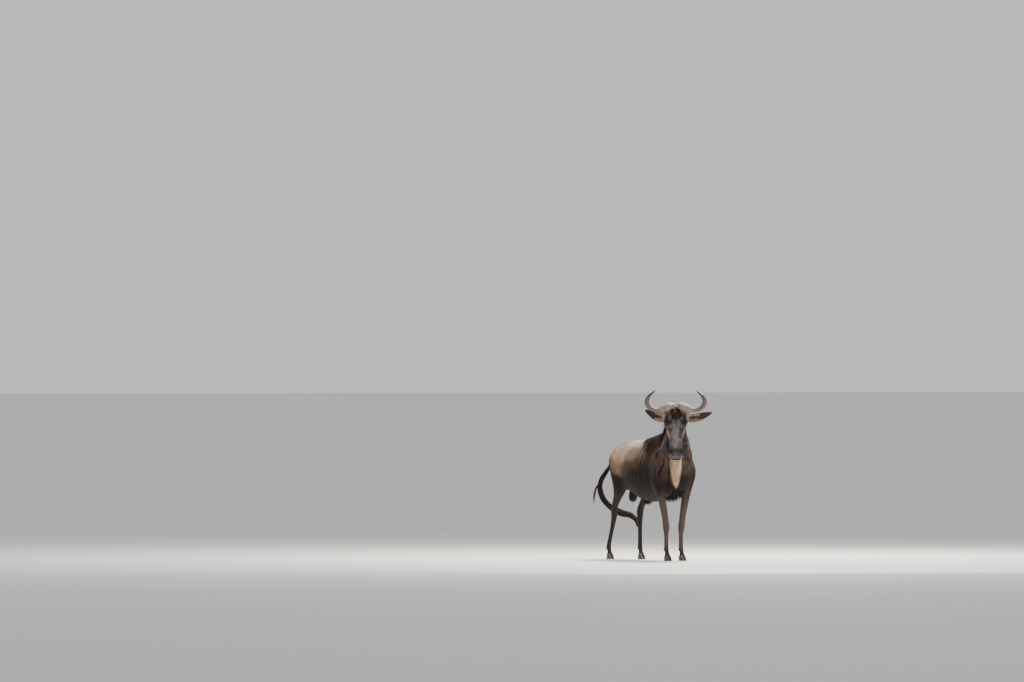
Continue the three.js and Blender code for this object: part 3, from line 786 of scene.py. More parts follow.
broken = bench.fade(bench.noise(place, 11.0, 2.0), 0.34, 0.56)
barred = bench.times(bars, broken, bench.fade(back, 0.56, 0.22), bench.fade(wavy, 0.70, 0.82),
                     bench.fade(wavy, 1.32, 1.18), 0.94)
coat = bench.blend(barred, coat, paint(24, 19, 18))
leg = bench.blend(bench.fade(back, 0.30, 0.50), paint(82, 70, 64), paint(46, 38, 35))
inner_leg = bench.fade(bench.math("ABSOLUTE", left), 0.07, 0.02)
leg = bench.blend(bench.times(inner_leg, 0.6), leg, paint(48, 38, 34))
leg = bench.blend(bench.fade(wavy, 0.17, 0.08), leg, paint(52, 42, 37))
not_belly = bench.math("MAXIMUM", bench.fade(back, 0.17, 0.10), bench.fade(back, 0.62, 0.74))
coat = bench.blend(bench.times(bench.fade(wavy, 0.70, 0.52), not_belly), coat, leg)

# The face's grey mottle is partly its own tone and partly painted sheen; the lighter strip down the middle is
# a painted highlight on the bridge, and the face is darker at its top.
face_mottle_and_sheen = bench.plus(bench.plus(fine, broad), bench.fade(aside, 0.052, 0.012, -0.12, 0.14))
face_mottle_and_sheen = bench.plus(face_mottle_and_sheen, bench.fade(head_along, 0.02, 0.12, -0.2, 0.0))
face = bench.blend(bench.fade(face_mottle_and_sheen, -0.30, 0.34), paint(40, 36, 39), paint(118, 110, 112))
tan_cheek = bench.times(
    bench.fade(aside, 0.046, 0.066), bench.fade(head_over, 0.050, 0.015),
    bench.fade(head_over, -0.085, -0.02), bench.fade(head_along, 0.15, 0.20),
    bench.fade(head_along, 0.39, 0.30), bench.fade(fine, -0.22, 0.10), 0.88)
face = bench.blend(tan_cheek, face, paint(186, 152, 124))
by_eye = (float(EYE_OUT) - 0.008, EYE_AHEAD + 0.004, EYE_ABOVE + 0.016)
gaps = [bench.minus(a, b) for a, b in zip((aside, head_along, head_over), by_eye)]
squares = [bench.times(gap, gap) for gap in gaps]
from_eye = bench.math("SQRT", bench.plus(bench.plus(*squares[:2]), squares[2]))
face = bench.blend(bench.times(bench.fade(from_eye, 0.054, 0.024), 0.94), face, paint(22, 18, 20))
muzzle_edge = bench.plus(head_along, bench.times(fine, 0.05))
face = bench.blend(bench.times(bench.fade(muzzle_edge, 0.405, 0.440), 0.88), face, paint(34, 30, 32))
# The gap left between the lip and chin bands keeps the dark muzzle colour, as painted shade under the upper
# lip along the mouth.
lip = bench.times(bench.fade(muzzle_edge, 0.466, 0.486), bench.fade(head_over, 0.000, 0.012))
face = bench.blend(bench.times(lip, 0.6), face, paint(98, 90, 92))
chin = bench.times(bench.fade(head_over, -0.018, -0.028), bench.fade(muzzle_edge, 0.41, 0.46))
face = bench.blend(bench.times(chin, 0.8), face, paint(176, 158, 138))
by_middle = bench.plus(aside, bench.times(fine, 0.03))
parting = bench.times(bench.fade(by_middle, 0.030, 0.010), bench.fade(head_along, 0.26, 0.08))
face = bench.blend(bench.times(parting, 0.75), face, paint(26, 22, 24))
on_face = bench.times(
    bench.fade(head_along, 0.00, 0.07), bench.fade(head_over, -0.20, -0.125),
    bench.fade(bench.math("ABSOLUTE", left), 0.6, 0.5), bench.fade(height, 0.86, 0.88))
crown = bench.times(bench.fade(aside, 0.05, 0.03), bench.fade(head_along, -0.12, -0.06),
                    bench.fade(head_over, 0.0, 0.04), bench.fade(height, 1.30, 1.34))
coat = bench.blend(crown, coat, paint(30, 25, 25))
coat = bench.blend(on_face, coat, face)

out_on_ear = bench.fade(bench.plus(aside, bench.times(fine, 0.1)), 0.12, 0.26)
ear_back = bench.blend(out_on_ear, paint(160, 134, 112), paint(100, 84, 74))
ear_back = bench.blend(bench.fade(aside, 0.27, 0.33), ear_back, paint(52, 42, 38))
ear_inside = bench.blend(bench.fade(fine, -0.4, 0.4), paint(52, 41, 38), paint(84, 66, 58))
ear_colour = bench.blend(given["Hollow"], ear_back, ear_inside)
ear_root = bench.fade(bench.plus(aside, bench.times(fine, 0.08)), 0.150, 0.118)
ear_colour = bench.blend(bench.times(ear_root, 0.7), ear_colour, paint(208, 182, 150))
on_ear = bench.times(bench.fade(aside, 0.100, 0.116), bench.fade(height, 1.20, 1.24),
                     bench.fade(head_along, 0.11, 0.09))
bench.feed(bench.blend(on_ear, coat, ear_colour), made["Colour"])
bench.feed(bench.times(on_face, bench.fade(aside, 0.116, 0.100)), made["Face"])
HIDE_COLOURING = bench.tree


def new_material(name):
    """A material with its bench and its Principled shader."""
    material = bpy.data.materials.new(name)
    material.use_nodes = True
    return material, Bench(material.node_tree), material.node_tree.nodes["Principled BSDF"]


hide, bench, shader = new_material("hide")
where = bench.kept("root", "Vector")
coloured = bench.add("Group", {"Place": where, "Hollow": bench.kept("hollow")}, node_tree=HIDE_COLOURING)
hairs = bench.noise(bench.scaled(where, (420, 90, 110)), 1.0, 3.0, 0.6)
pores = bench.noise(where, 900.0, 2.0)
darker = bench.blend(bench.fade(hairs, 0.3, 0.7), (0.62, 0.60, 0.58, 1), (1.12, 1.1, 1.08, 1))
bench.feed(bench.blend(1.0, coloured.outputs["Colour"], darker, "MULTIPLY"), shader.inputs["Base Color"])
bench.relief(shader, bench.plus(hairs, bench.times(pores, 0.5)), 0.5, 0.0008)
bench.feed(bench.fade(coloured.outputs["Face"], 0.0, 1.0, 0.62, 0.5), shader.inputs["Roughness"])
set_inputs(shader, {"Specular IOR Level": 0.25})
skin_mesh.materials.append(hide)
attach(skin, "root")
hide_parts("trunk", "neck", "head", "lower_jaw", *LEG_NODES, "tail_dock", "scrotum", "sheath",
            "ear_right", "ear_left")

# Eyes. Large dark brown balls under a wet, bulging cornea, each with a level oval pupil. They sit in the
# orbits, sunk between the lids.
IRIS_RADIUS, PUPIL_HALF_LENGTH, PUPIL_HALF_HEIGHT = 0.0125, 0.0080, 0.0040
EYE_RINGS, EYE_AROUND = 29, 48


def ring_mesh(name, places, material):
    """A closed mesh through rings of points, smooth shaded, that keeps its places for its material."""
    rings, around = places.shape[:2]
    index = np.arange(rings * around).reshape(rings, around)
    turned = np.roll(index, -1, axis=1)
    walls = np.stack([index[:-1], turned[:-1], turned[1:], index[1:]], -1).reshape(-1, 4).tolist()
    ends = [index[0][::-1].tolist(), index[-1].tolist()]
    mesh = bpy.data.meshes.new(name)
    mesh.from_pydata(places.reshape(-1, 3).tolist(), [], walls + ends)
    shape = bmesh.new()
    shape.from_mesh(mesh)
    bmesh.ops.remove_doubles(shape, verts=shape.verts, dist=1e-6)
    bmesh.ops.recalc_face_normals(shape, faces=shape.faces)
    shape.to_mesh(mesh)
    shape.free()
    smooth(mesh)
    mesh.materials.append(material)
    keep_on_mesh(mesh, "root", read_mesh(mesh.vertices, "co", 3))
    piece = placed(name, mesh)
    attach(piece, "root")
    return piece


for side, centre in zip(("right", "left"), eye_centres):
    mirrored = np.array((-1 if side == "right" else 1, 1, 1))
    look, along, over = ((axis * mirrored) @ HEAD_AXES.T for axis in (EYE_LOOK, EYE_ALONG, EYE_OVER))
    turn, rise = np.meshgrid(
        np.linspace(0, np.pi, EYE_RINGS)[1:-1], np.arange(EYE_AROUND) * 2 * np.pi / EYE_AROUND, indexing="ij")
    swell = EYE_RADIUS + 0.0012 * np.exp(-(turn / 0.55) ** 2)
    places = centre + swell[..., None] * (
        np.cos(turn)[..., None] * look + (np.sin(turn) * np.cos(rise))[..., None] * along
        + (np.sin(turn) * np.sin(rise))[..., None] * over)
    wet, bench, shader = new_material(f"eye_{side}")
    from_centre = {0: bench.kept("root", "Vector"), 1: tuple(centre)}
    spot = bench.add("VectorMath", from_centre, operation="SUBTRACT").outputs[0]
    across = bench.dot(spot, along)
    level = bench.dot(spot, over)
    from_middle = bench.math("SQRT", bench.plus(bench.times(across, across), bench.times(level, level)))
    rays = bench.noise(bench.add("VectorMath", {0: spot}, operation="NORMALIZE").outputs[0], 26.0, 3.0)
    iris = bench.blend(bench.fade(rays, 0.35, 0.65), paint(26, 15, 10), paint(52, 31, 19))
    past_iris = bench.fade(from_middle, IRIS_RADIUS - 0.0006, IRIS_RADIUS + 0.0006)
    ball = bench.blend(past_iris, iris, paint(24, 17, 15))
    pupil = bench.plus(bench.math("POWER", bench.times(across, 1 / PUPIL_HALF_LENGTH), 2.0),
                       bench.math("POWER", bench.times(level, 1 / PUPIL_HALF_HEIGHT), 2.0))
    ball = bench.blend(bench.fade(pupil, 1.15, 0.85), ball, paint(9, 7, 8))
    bench.feed(ball, shader.inputs["Base Color"])
    set_inputs(shader, {
        "Roughness": 0.12, "Coat Weight": 0.7, "Coat Roughness": 0.03, "Specular IOR Level": 0.0})
    eye = ring_mesh(f"eyeball_{side}", places, wet)
    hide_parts(f"eye_{side}")

# Horns. Hollow horn sheaths on bony cores, rough and knobbed where they swell over the crown, smoother and
# darker out to the points. Each is one sweep with growth rings raised on it.
HORN_PATH = np.array([
    (16, 48, 58), (52, 56, 62), (104, 66, 42), (160, 78, 27), (212, 88, 30),
    (258, 94, 56), (278, 92, 104), (262, 82, 152), (226, 68, 190), (182, 54, 225),
]) / 1000
HORN_GIRTHS = np.array([
    (31, 34), (41, 62), (38, 48), (23, 26), (21, 23), (23, 24), (22, 22), (17, 17), (10, 10), (2.5, 2.5),
]) / 1000
HORN_RINGS, HORN_AROUND = 300, 64
GROWTH_RINGS = 34
# Waves of knobs on the bosses: how close along the horn, how many round it, where they start.
HORN_KNOBS = (95, 3, 0.4), (160, -5, 1.3), (60, 7, 2.2), (230, 4, 4.0)

horn_finish, bench, shader = new_material("horn")
along_horn = bench.kept("along")
horn_place = bench.kept("root", "Vector")
grain = bench.noise(horn_place, 55.0, 5.0, 0.65)
growth = bench.noise(bench.add("CombineXYZ", {0: bench.times(along_horn, 46.0)}).outputs[0], 1.0, 4.0, 0.6)
flake = bench.noise(horn_place, 320.0, 3.0, 0.7)
weathered = bench.fade(bench.plus(grain, bench.times(growth, 0.4)), 0.45, 0.85)
horn_colour = bench.blend(weathered, paint(74, 64, 61), paint(142, 126, 117))
horn_colour = bench.blend(bench.fade(along_horn, 0.16, 0.50), horn_colour, paint(84, 73, 72))
horn_colour = bench.blend(bench.fade(along_horn, 0.62, 0.95), horn_colour, paint(42, 36, 37))
horn_colour = bench.blend(bench.times(bench.fade(flake, 0.52, 0.7), 0.35), horn_colour, paint(58, 50, 47))
bench.feed(horn_colour, shader.inputs["Base Color"])
bench.feed(bench.fade(along_horn, 0.2, 0.8, 0.62, 0.34), shader.inputs["Roughness"])
bench.relief(shader, bench.plus(flake, bench.times(growth, 1.4)), 0.7, 0.0012)

for side, name in ((-1, "right"), (1, "left")):
    fine_path = through_stations(HORN_PATH, np.linspace(0, 1, 900))
    run = np.concatenate([[0], np.cumsum(np.linalg.norm(np.diff(fine_path, axis=0), axis=1))])
    share = np.linspace(0, 1, HORN_RINGS) ** 0.9
    middle = np.stack([np.interp(share, run / run[-1], fine_path[:, k]) for k in range(3)], 1)
    girth = through_stations(HORN_GIRTHS, share) - 0.0006
    tangent = unit(np.gradient(middle, axis=0))
    through_way = unit(np.array((0, 1, 0)) - tangent[:, 1:2] * tangent)
    across_way = np.cross(tangent, through_way)
    angle = np.arange(HORN_AROUND) * 2 * np.pi / HORN_AROUND
    on_boss = smoothstep(0.34, 0.12, share)[:, None]
    rings = 0.5 + 0.5 * np.cos(2 * np.pi * (share * GROWTH_RINGS + 0.35 * np.sin(share * 19)))
    rings = (rings ** 3 * smoothstep(0.06, 0.2, share) * smoothstep(0.72, 0.45, share))[:, None]
    knobs = sum(
        np.sin(share[:, None] * close + round_it * angle + start) for close, round_it, start in HORN_KNOBS)
    swell = 1 + 0.035 * rings + on_boss * (0.012 * knobs - 0.01)
    ring = (np.cos(angle)[None, :, None] * (girth[:, :1] * swell)[..., None] * across_way[:, None]
            + np.sin(angle)[None, :, None] * (girth[:, 1:] * swell)[..., None] * through_way[:, None])
    local = middle[:, None] + ring
    places = from_crown(side * local[..., 0], local[..., 1], local[..., 2])
    horn = ring_mesh(f"horn_sheath_{name}", places, horn_finish)
    horn_tree = KDTree(HORN_RINGS)
    for i, spot in enumerate(from_crown(side * middle[:, 0], middle[:, 1], middle[:, 2])):
        horn_tree.insert(spot, i)
    horn_tree.balance()
    nearest = [horn_tree.find(corner.co)[1] for corner in horn.data.vertices]
    keep_on_mesh(horn.data, "along", share[nearest])
    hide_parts(f"horn_{name}")

# Hooves. Two claws of dark horn on each foot, ringed by growth below the coronet and worn at the rim. Two
# small dew claws sit behind each fetlock.
HOOF_HEIGHT = 0.0557
HOOF_RINGS, HOOF_AROUND = 26, 48
# Levels of a claw: height, ahead of its middle, half width, reach to the front, reach to the back.
HOOF = np.array([
    (0.0000, 0.0080, 0.0152, 0.0540, 0.0390),
    (0.0040, 0.0074, 0.0154, 0.0545, 0.0392),
    (0.0280, 0.0038, 0.0150, 0.0410, 0.0360),
    (0.0440, 0.0012, 0.0144, 0.0325, 0.0305),
    (0.0500, 0.0004, 0.0134, 0.0280, 0.0262),
    (0.0557, 0.0000, 0.0100, 0.0220, 0.0200),
])

hoof_finish, bench, shader = new_material("hoof")
hoof_place = bench.kept("root", "Vector")
growth = bench.noise(bench.scaled(hoof_place, (40, 40, 620)), 1.0, 3.0, 0.6)
streak = bench.noise(bench.scaled(hoof_place, (700, 700, 60)), 1.0, 2.0)
hoof_colour = bench.blend(bench.fade(growth, 0.35, 0.7), paint(46, 40, 37), paint(88, 77, 69))
hoof_colour = bench.blend(bench.times(bench.fade(streak, 0.5, 0.75), 0.5), hoof_colour, paint(116, 101, 88))
worn = bench.fade(bench.dot(hoof_place, UP), 0.012, 0.0)
hoof_colour = bench.blend(bench.times(worn, 0.7), hoof_colour, paint(128, 112, 94))
bench.feed(hoof_colour, shader.inputs["Base Color"])
bench.feed(bench.fade(growth, 0.3, 0.8, 0.42, 0.6), shader.inputs["Roughness"])
bench.relief(shader, bench.plus(growth, bench.times(streak, 0.4)), 0.6, 0.001)

FEET = [f"{end}hoof_{side}" for end in ("fore", "hind") for side in ("right", "left")]
angle = np.arange(HOOF_AROUND) * 2 * np.pi / HOOF_AROUND
for foot in FEET:
    for which in ("outer", "inner"):
        low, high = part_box(f"{foot}_{which}")
        to_outer = 1 if ("left" in foot) == (which == "outer") else -1
        share = np.linspace(0, 1, HOOF_RINGS)
        tall, ahead, wide, front, rear = through_stations(HOOF, share).T
        tall = np.clip(tall, 0, HOOF_HEIGHT)
        tall[0], tall[1] = 0, 0.0006
        ridge = 0.0004 * np.sin(tall * 2 * np.pi / 0.0062) * smoothstep(0.003, 0.01, tall)
        shrink = np.where(np.arange(HOOF_RINGS) == 0, 0.0012, 0)
        cos, sin = np.cos(angle), np.sin(angle)
        out_way = np.sign(cos) * np.abs(cos) ** 0.85
        side_wall = np.where(cos * to_outer > 0, 1.0, 0.9)
        x = (low.x + high.x) / 2 + out_way * side_wall * (wide + ridge - shrink)[:, None]
        length = np.where(sin > 0, 1, 0)
        reach = (front[:, None] * length + rear[:, None] * (1 - length)) + (ridge - shrink)[:, None]
        toe_in = -to_outer * 0.004 * np.clip(sin, 0, 1) ** 2 * (1 - share[:, None])
        y = high.y - 0.0390 + 0.0080 - ahead[:, None] - sin * reach
        places = np.stack([x + toe_in, y, np.broadcast_to(tall[:, None], x.shape)], -1)
        hoof = ring_mesh(f"claw_{foot}_{which}", places, hoof_finish)
        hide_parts(f"{foot}_{which}")

DEW_CLAW_HEIGHT, DEW_CLAW_LENGTH, DEW_CLAW_HALF_WIDTH = 0.120, 0.027, 0.0085
DEW_CLAW_ASIDE, DEW_CLAW_SUNK = 0.012, 0.007
for foot in FEET:
    boxes = [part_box(f"{foot}_{which}") for which in ("outer", "inner")]
    foot_x = sum(low.x + high.x for low, high in boxes) / 4
    for aside in (-DEW_CLAW_ASIDE, DEW_CLAW_ASIDE):
        root = np.array([[foot_x + aside, boxes[0][1].y + 0.05, DEW_CLAW_HEIGHT]])
        for _ in range(40):
            root[0, 1] -= 0.7 * (skin_field(root)[0] + DEW_CLAW_SUNK)
        share = np.linspace(0, 1, 10)[:, None, None]
        middle = root[0] + share * DEW_CLAW_LENGTH * np.array((aside * 12, 0.42, -0.90))
        wide = DEW_CLAW_HALF_WIDTH * np.sqrt(np.clip(1 - share, 0.004, 1)) * (1 - 0.25 * share)
        around = np.arange(16)[None, :, None] * np.pi / 8
        ring = np.cos(around) * np.array((1, 0, 0)) + np.sin(around) * np.array((0, 0.9, 0.42))
        which = "left" if aside > 0 else "right"
        claw = ring_mesh(f"dew_claw_{foot}_{which}", middle + wide * ring, hoof_finish)

# Short coat. Sleek hair, grown in tufts that lie back along the trunk, down the neck and legs and towards the
# muzzle. Each tuft is three-sided, rooted just under the hide, and takes its colour from its root.
rng = np.random.default_rng(7)
PATCH = 0.003


def tufted(name, paths, sides, widths, depths, homes, values, material, profile=(1.0,)):
    """Joins tufts or locks into one mesh of three-sided blades, each along points to a pointed tip."""
    count, steps = paths.shape[:2]
    rings = steps - 1
    run = unit(np.gradient(paths, axis=1))[:, :rings]
    across = unit(sides[:, None] - (sides[:, None] * run).sum(-1, keepdims=True) * run)
    over = np.cross(across, run)
    wide = 0.5 * widths[:, None, None] * np.array(profile)[None, :, None]
    deep = depths[:, None, None] * np.array(profile)[None, :, None]
    spine = paths[:, :rings]
    corners = np.stack([spine - across * wide, spine + over * deep, spine + across * wide], 2)
    points = np.concatenate([corners.reshape(count, rings * 3, 3), paths[:, -1:]], 1)
    per = rings * 3 + 1
    first = np.arange(count)[:, None, None] * per
    walls = np.array([
        (3 * r + a, 3 * r + b, 3 * r + 3 + b, 3 * r + 3 + a)
        for r in range(rings - 1) for a, b in ((0, 1), (1, 2), (2, 0))
    ], int).reshape(-1, 4)
    tip = np.array([(3 * rings - 3 + a, 3 * rings - 3 + b, per - 1) for a, b in ((0, 1), (1, 2), (2, 0))])
    tip = np.concatenate([tip, [(0, 2, 1)]])
    loops = np.concatenate([
        (first + walls).reshape(count, -1), (first + tip).reshape(count, -1)], 1).ravel()
    sizes = np.tile(np.concatenate([np.full(len(walls), 4), np.full(len(tip), 3)]), count)
    mesh = bpy.data.meshes.new(name)
    mesh.vertices.add(count * per)
    mesh.vertices.foreach_set("co", points.astype(np.float32).ravel())
    mesh.loops.add(len(loops))
    mesh.loops.foreach_set("vertex_index", loops.astype(np.int32))
    mesh.polygons.add(len(sizes))
    mesh.polygons.foreach_set("loop_start", np.concatenate([[0], np.cumsum(sizes)[:-1]]).astype(np.int32))
    smooth(mesh)
    mesh.update(calc_edges=True)
    along = np.concatenate([np.repeat(np.arange(rings) / rings, 3), [1]])
    side = np.concatenate([np.tile((0, 0.5, 1), rings), [0.5]])
    patch = homes[:, None] + PATCH * (np.stack([side, along], -1) - 0.5)
    layer = mesh.uv_layers.new(name="OFBake")
    layer.data.foreach_set("uv", patch.reshape(-1, 2)[loops].astype(np.float32).ravel())
    for key, value in values.items():
        spread = np.repeat(value[:, None], per, 1)
        keep_on_mesh(mesh, key, spread.reshape(-1, 3) if value.ndim == 2 else spread.ravel())
    keep_on_mesh(mesh, "along", np.tile(along, count))
    keep_on_mesh(mesh, "across", np.tile(side, count))
    mesh.materials.append(material)
    piece = placed(name, mesh)
    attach(piece, "root")
    return piece


# Hair finishes: fine strands along a tuft, darker at its root.
bench, given, made = new_group(
    "hair strands", {"Along": "Float", "Across": "Float", "Shade": "Float", "Contrast": "Float"},
    {"Height": "Float", "Tone": "Float"})
strand_place = bench.add("CombineXYZ", {
    0: bench.times(given["Across"], 7.0),
    1: bench.times(given["Along"], 1.3),
    2: bench.times(given["Shade"], 90.0),
})
strands = bench.noise(strand_place.outputs[0], 1.0, 2.0, 0.6)
bench.feed(strands, made["Height"])
by_root = bench.fade(given["Along"], 0.0, 0.75, -0.28, 0.02)
tone = bench.plus(by_root, bench.times(bench.minus(strands, 0.5), 0.55))
tone = bench.plus(tone, bench.times(bench.minus(given["Shade"], 0.5), 0.42))
bench.feed(bench.plus(bench.times(tone, given["Contrast"]), 1.08), made["Tone"])
HAIR_STRANDS = bench.tree


def hair_finish(name, roughness, relief_depth, base_from, contrast=1.0, shine=0.35):
    """A hair material. base_from lays out its base colour on its bench."""
    material, bench, shader = new_material(name)
    wires = {"Along": bench.kept("along"), "Across": bench.kept("across"), "Shade": bench.kept("shade")}
    strand = bench.add("Group", {**wires, "Contrast": contrast}, node_tree=HAIR_STRANDS)
    tone = bench.add("CombineXYZ", {k: strand.outputs["Tone"] for k in range(3)}).outputs[0]
    bench.feed(bench.blend(1.0, base_from(bench), tone, "MULTIPLY"), shader.inputs["Base Color"])
    bench.relief(shader, strand.outputs["Height"], 0.5, relief_depth)
    set_inputs(shader, {"Roughness": roughness, "Specular IOR Level": shine})
    return material


def coat_base(bench):
    wires = {"Place": bench.kept("root", "Vector"), "Hollow": bench.kept("hollow")}
    return bench.add("Group", wires, node_tree=HIDE_COLOURING).outputs["Colour"]


coat_finish = hair_finish("coat", 0.62, 0.0004, coat_base, 0.42, 0.12)

# Every triangle of the hide, with what lies at its corners.
skin_mesh.calc_loop_triangles()
corner_ids = read_mesh(skin_mesh.loop_triangles, "vertices", 3, np.int32)
loop_ids = read_mesh(skin_mesh.loop_triangles, "loops", 3, np.int32)
corner_flat = read_mesh(skin_mesh.uv_layers["OFBake"].data, "uv", 2)[loop_ids]
corner_places = skin_places[corner_ids]
face_middles = corner_places.mean(1)
face_areas = 0.5 * np.linalg.norm(np.cross(
    corner_places[:, 1] - corner_places[:, 0], corner_places[:, 2] - corner_places[:, 0]), axis=1)


def roots_on_hide(density):
    """Roots spread by a density in tufts per square metre, as place, way out, flat place and hollow."""
    wanted = np.cumsum(density * face_areas)
    count = int(wanted[-1])
    face = np.searchsorted(wanted, (np.arange(count) + rng.random(count)) * wanted[-1] / count)
    face = np.minimum(face, len(face_areas) - 1)
    a, b = np.sqrt(rng.random(count)), rng.random(count)
    share = np.stack([1 - a, a * (1 - b), a * b], 1)[..., None]
    return (
        (share * corner_places[face]).sum(1),
        unit((share * skin_normals[corner_ids[face]]).sum(1)),
        (share * corner_flat[face]).sum(1),
        (share[..., 0] * hollow[corner_ids[face]]).sum(1),
    )


def leg_share(p):
    """1 on a leg below elbow and stifle, 0 on trunk and belly."""
    m = on_body(p)
    beside_belly = np.maximum(smoothstep(0.17, 0.10, m[:, 1]), smoothstep(0.62, 0.74, m[:, 1]))
    return smoothstep(0.74, 0.60, m[:, 2]) * beside_belly


def head_share(p):
    q = to_head(p)
    return smoothstep(-0.03, 0.05, q[:, 1]) * smoothstep(-0.22, -0.15, q[:, 2]) * near_head(p)


EAR_RUN = {side: unit(ear_points(side, np.array(0.8), 0, 0, 0) - ear_points(side, np.array(0.1), 0, 0, 0))
           for side in EARS}


def lie_of_hair(p, n):
    """The way that hair lies at points of the hide."""
    m = on_body(p)
    q = to_head(p)
    sideways = np.sign(m[:, 0]) * smoothstep(0.02, 0.12, np.abs(m[:, 0]))
    down = -0.18 - 0.45 * smoothstep(0.04, 0.16, np.abs(m[:, 0]))
    lie = np.stack([0.15 * sideways, np.ones(len(p)), down], 1)

    def turn_to(share, way):
        return lie + share[:, None] * (np.asarray(way) - lie)

    lie = turn_to(smoothstep(0.14, -0.08, m[:, 1]) * smoothstep(0.62, 0.8, m[:, 2]), (0, 0.45, -0.9))
    lie = turn_to(smoothstep(0.86, 1.04, m[:, 1]) * smoothstep(0.6, 0.75, m[:, 2]), (0, 0.35, -0.95))
    lie = turn_to(leg_share(p), (0, 0.12, -1))
    lie = turn_to(smoothstep(1.05, 1.10, m[:, 1]) * smoothstep(0.8, 0.9, m[:, 2]), (-0.35, 0.45, -0.8))
    lie = turn_to(head_share(p), head_ahead - 0.25 * head_above)
    over_jaw = head_share(p) * smoothstep(0.02, -0.06, q[:, 2]) * smoothstep(0.36, 0.28, q[:, 1])
    lie = turn_to(over_jaw, 0.6 * head_ahead - 0.2 * head_above - 0.5 * UP)
    for side, run in EAR_RUN.items():
        lie = turn_to(ear_share(p) * (side * q[:, 0] > 0), run)
    drift = np.sin(p[:, 2:3] * 41 + 3 * np.sin(p[:, 1:2] * 23)) * np.sin(p[:, 1:2] * 37 + p[:, 0:1] * 29)
    lie = unit(lie) + 0.05 * drift * np.cross(n, lie)
    return unit(lie - (lie * n).sum(1, keepdims=True) * n)


def bare(p):
    """Where no hair grows: eyes, nostrils, the rims of the mouth, and the soles of the legs."""
    q = to_head(p)
    m = one_side(q)
    nostrils = np.linalg.norm((m - (0.038, 0.472, 0.050)) / (1.3, 1, 1), axis=1) < 0.024
    line = np.interp(q[:, 1], *MOUTH_LINE)
    mouth = (np.abs(q[:, 2] - line) < 0.006) & (q[:, 1] > 0.385)
    return around_eyes(p, 0.0240) | (near_head(p) & (nostrils | mouth)) | (p[:, 2] < 0.052)


BODY_GAP, LEG_GAP, FACE_GAP = 0.0042, 0.0040, 0.00302
BODY_HAIR, LEG_HAIR, FACE_HAIR, MUZZLE_HAIR, EAR_HAIR = 0.021, 0.0125, 0.0095, 0.0055, 0.012
TUFT_WIDTH, FINE_TUFT_WIDTH, TUFT_DEPTH = 0.0032, 0.0022, 0.24
SUNK = 0.0008
gap = BODY_GAP + (LEG_GAP - BODY_GAP) * leg_share(face_middles)
gap = gap + (FACE_GAP - gap) * head_share(face_middles)
gap = gap + (FACE_GAP - gap) * np.clip(ear_share(face_middles), 0, 1)
density = np.where(bare(face_middles), 0, 1 / gap ** 2)
roots, out_ways, homes, hollows = roots_on_hide(density)
on_leg, on_head = leg_share(roots), head_share(roots)
on_ears = np.clip(ear_share(roots), 0, 1)
lies = lie_of_hair(roots, out_ways)
spin = rng.normal(0, 0.13, len(roots))[:, None]
lies = unit(lies + spin * np.cross(out_ways, lies))
to_muzzle = smoothstep(0.25, 0.47, to_head(roots)[:, 1]) * on_head
lengths = BODY_HAIR + (LEG_HAIR - BODY_HAIR) * on_leg
lengths = lengths + (FACE_HAIR - (FACE_HAIR - MUZZLE_HAIR) * to_muzzle - lengths) * on_head
lengths = lengths + (EAR_HAIR - lengths) * on_ears
lengths = lengths * rng.uniform(0.75, 1.2, len(roots))
widths = TUFT_WIDTH - (TUFT_WIDTH - FINE_TUFT_WIDTH) * np.maximum(on_leg, on_head)
widths = widths * rng.uniform(0.75, 1.2, len(roots))
lifts = lengths * rng.uniform(0.02, 0.07, len(roots)) + 0.0004
tips = roots + lengths[:, None] * lies + lifts[:, None] * out_ways
paths = np.stack([roots - SUNK * out_ways, tips], 1)
shades = np.clip(rng.normal(0.5, 0.2, len(roots)), 0, 1)

m = on_body(roots)
right = m[:, 0] < 0
rear = m[:, 1] > 0.44
region = np.select(
    [(on_head + on_ears > 0.5), on_leg > 0.5, m[:, 1] < 0.02, right & ~rear, right & rear, ~right & ~rear],
    ["head", "leg", "neck", "fore_right", "rear_right", "fore_left"], "rear_left")
region = np.where(region == "leg", np.where(m[:, 1] < 0.3, "forelegs", "hindlegs"), region)
for name in sorted(set(region)):
    here = region == name
    tufts = tufted(
        f"coat_{name}", paths[here], np.cross(lies[here], out_ways[here]), widths[here],
        TUFT_DEPTH * widths[here], homes[here],
        {"root": roots[here], "hollow": hollows[here], "shade": shades[here]}, coat_finish)

# Long hair. Coarse black hair, browner towards its tips. Each lock grows out of the hide, falls under its own
# weight and lies down on whatever it meets.
SKIN_TREE = KDTree(len(skin_places))
for i, spot in enumerate(skin_places):
    SKIN_TREE.insert(spot, i)
SKIN_TREE.balance()
vertex_flat = np.zeros((len(skin_places), 2))
vertex_flat[corner_ids.ravel()] = corner_flat.reshape(-1, 2)


def homes_of(p):
    """Where points lie on the flat layout of the hide."""
    return vertex_flat[[SKIN_TREE.find(spot)[1] for spot in p]]


def slope_of_skin(p):
    """Distance from the skin and the way out of it."""
    step = 0.002
    here = skin_field(p)
    return here, unit(np.stack([skin_field(p + step * np.eye(3)[k]) - here for k in range(3)], 1))


def grown(starts, ways, lengths, pieces, fall, clear):
    """Paths of hair that start off on their ways, bend over by fall, and keep clear of the skin."""
    path = [starts]
    step = (lengths / pieces)[:, None]
    for k in range(1, pieces + 1):
        ways = unit(ways + fall(path[-1], k / pieces))
        spot = path[-1] + ways * step
        off, out = slope_of_skin(spot)
        spot = spot + np.clip(clear * min(1, k / 3) - off, 0, 0.05)[:, None] * out
        ways = unit(spot - path[-1])
        path.append(spot)
    return np.stack(path, 1)


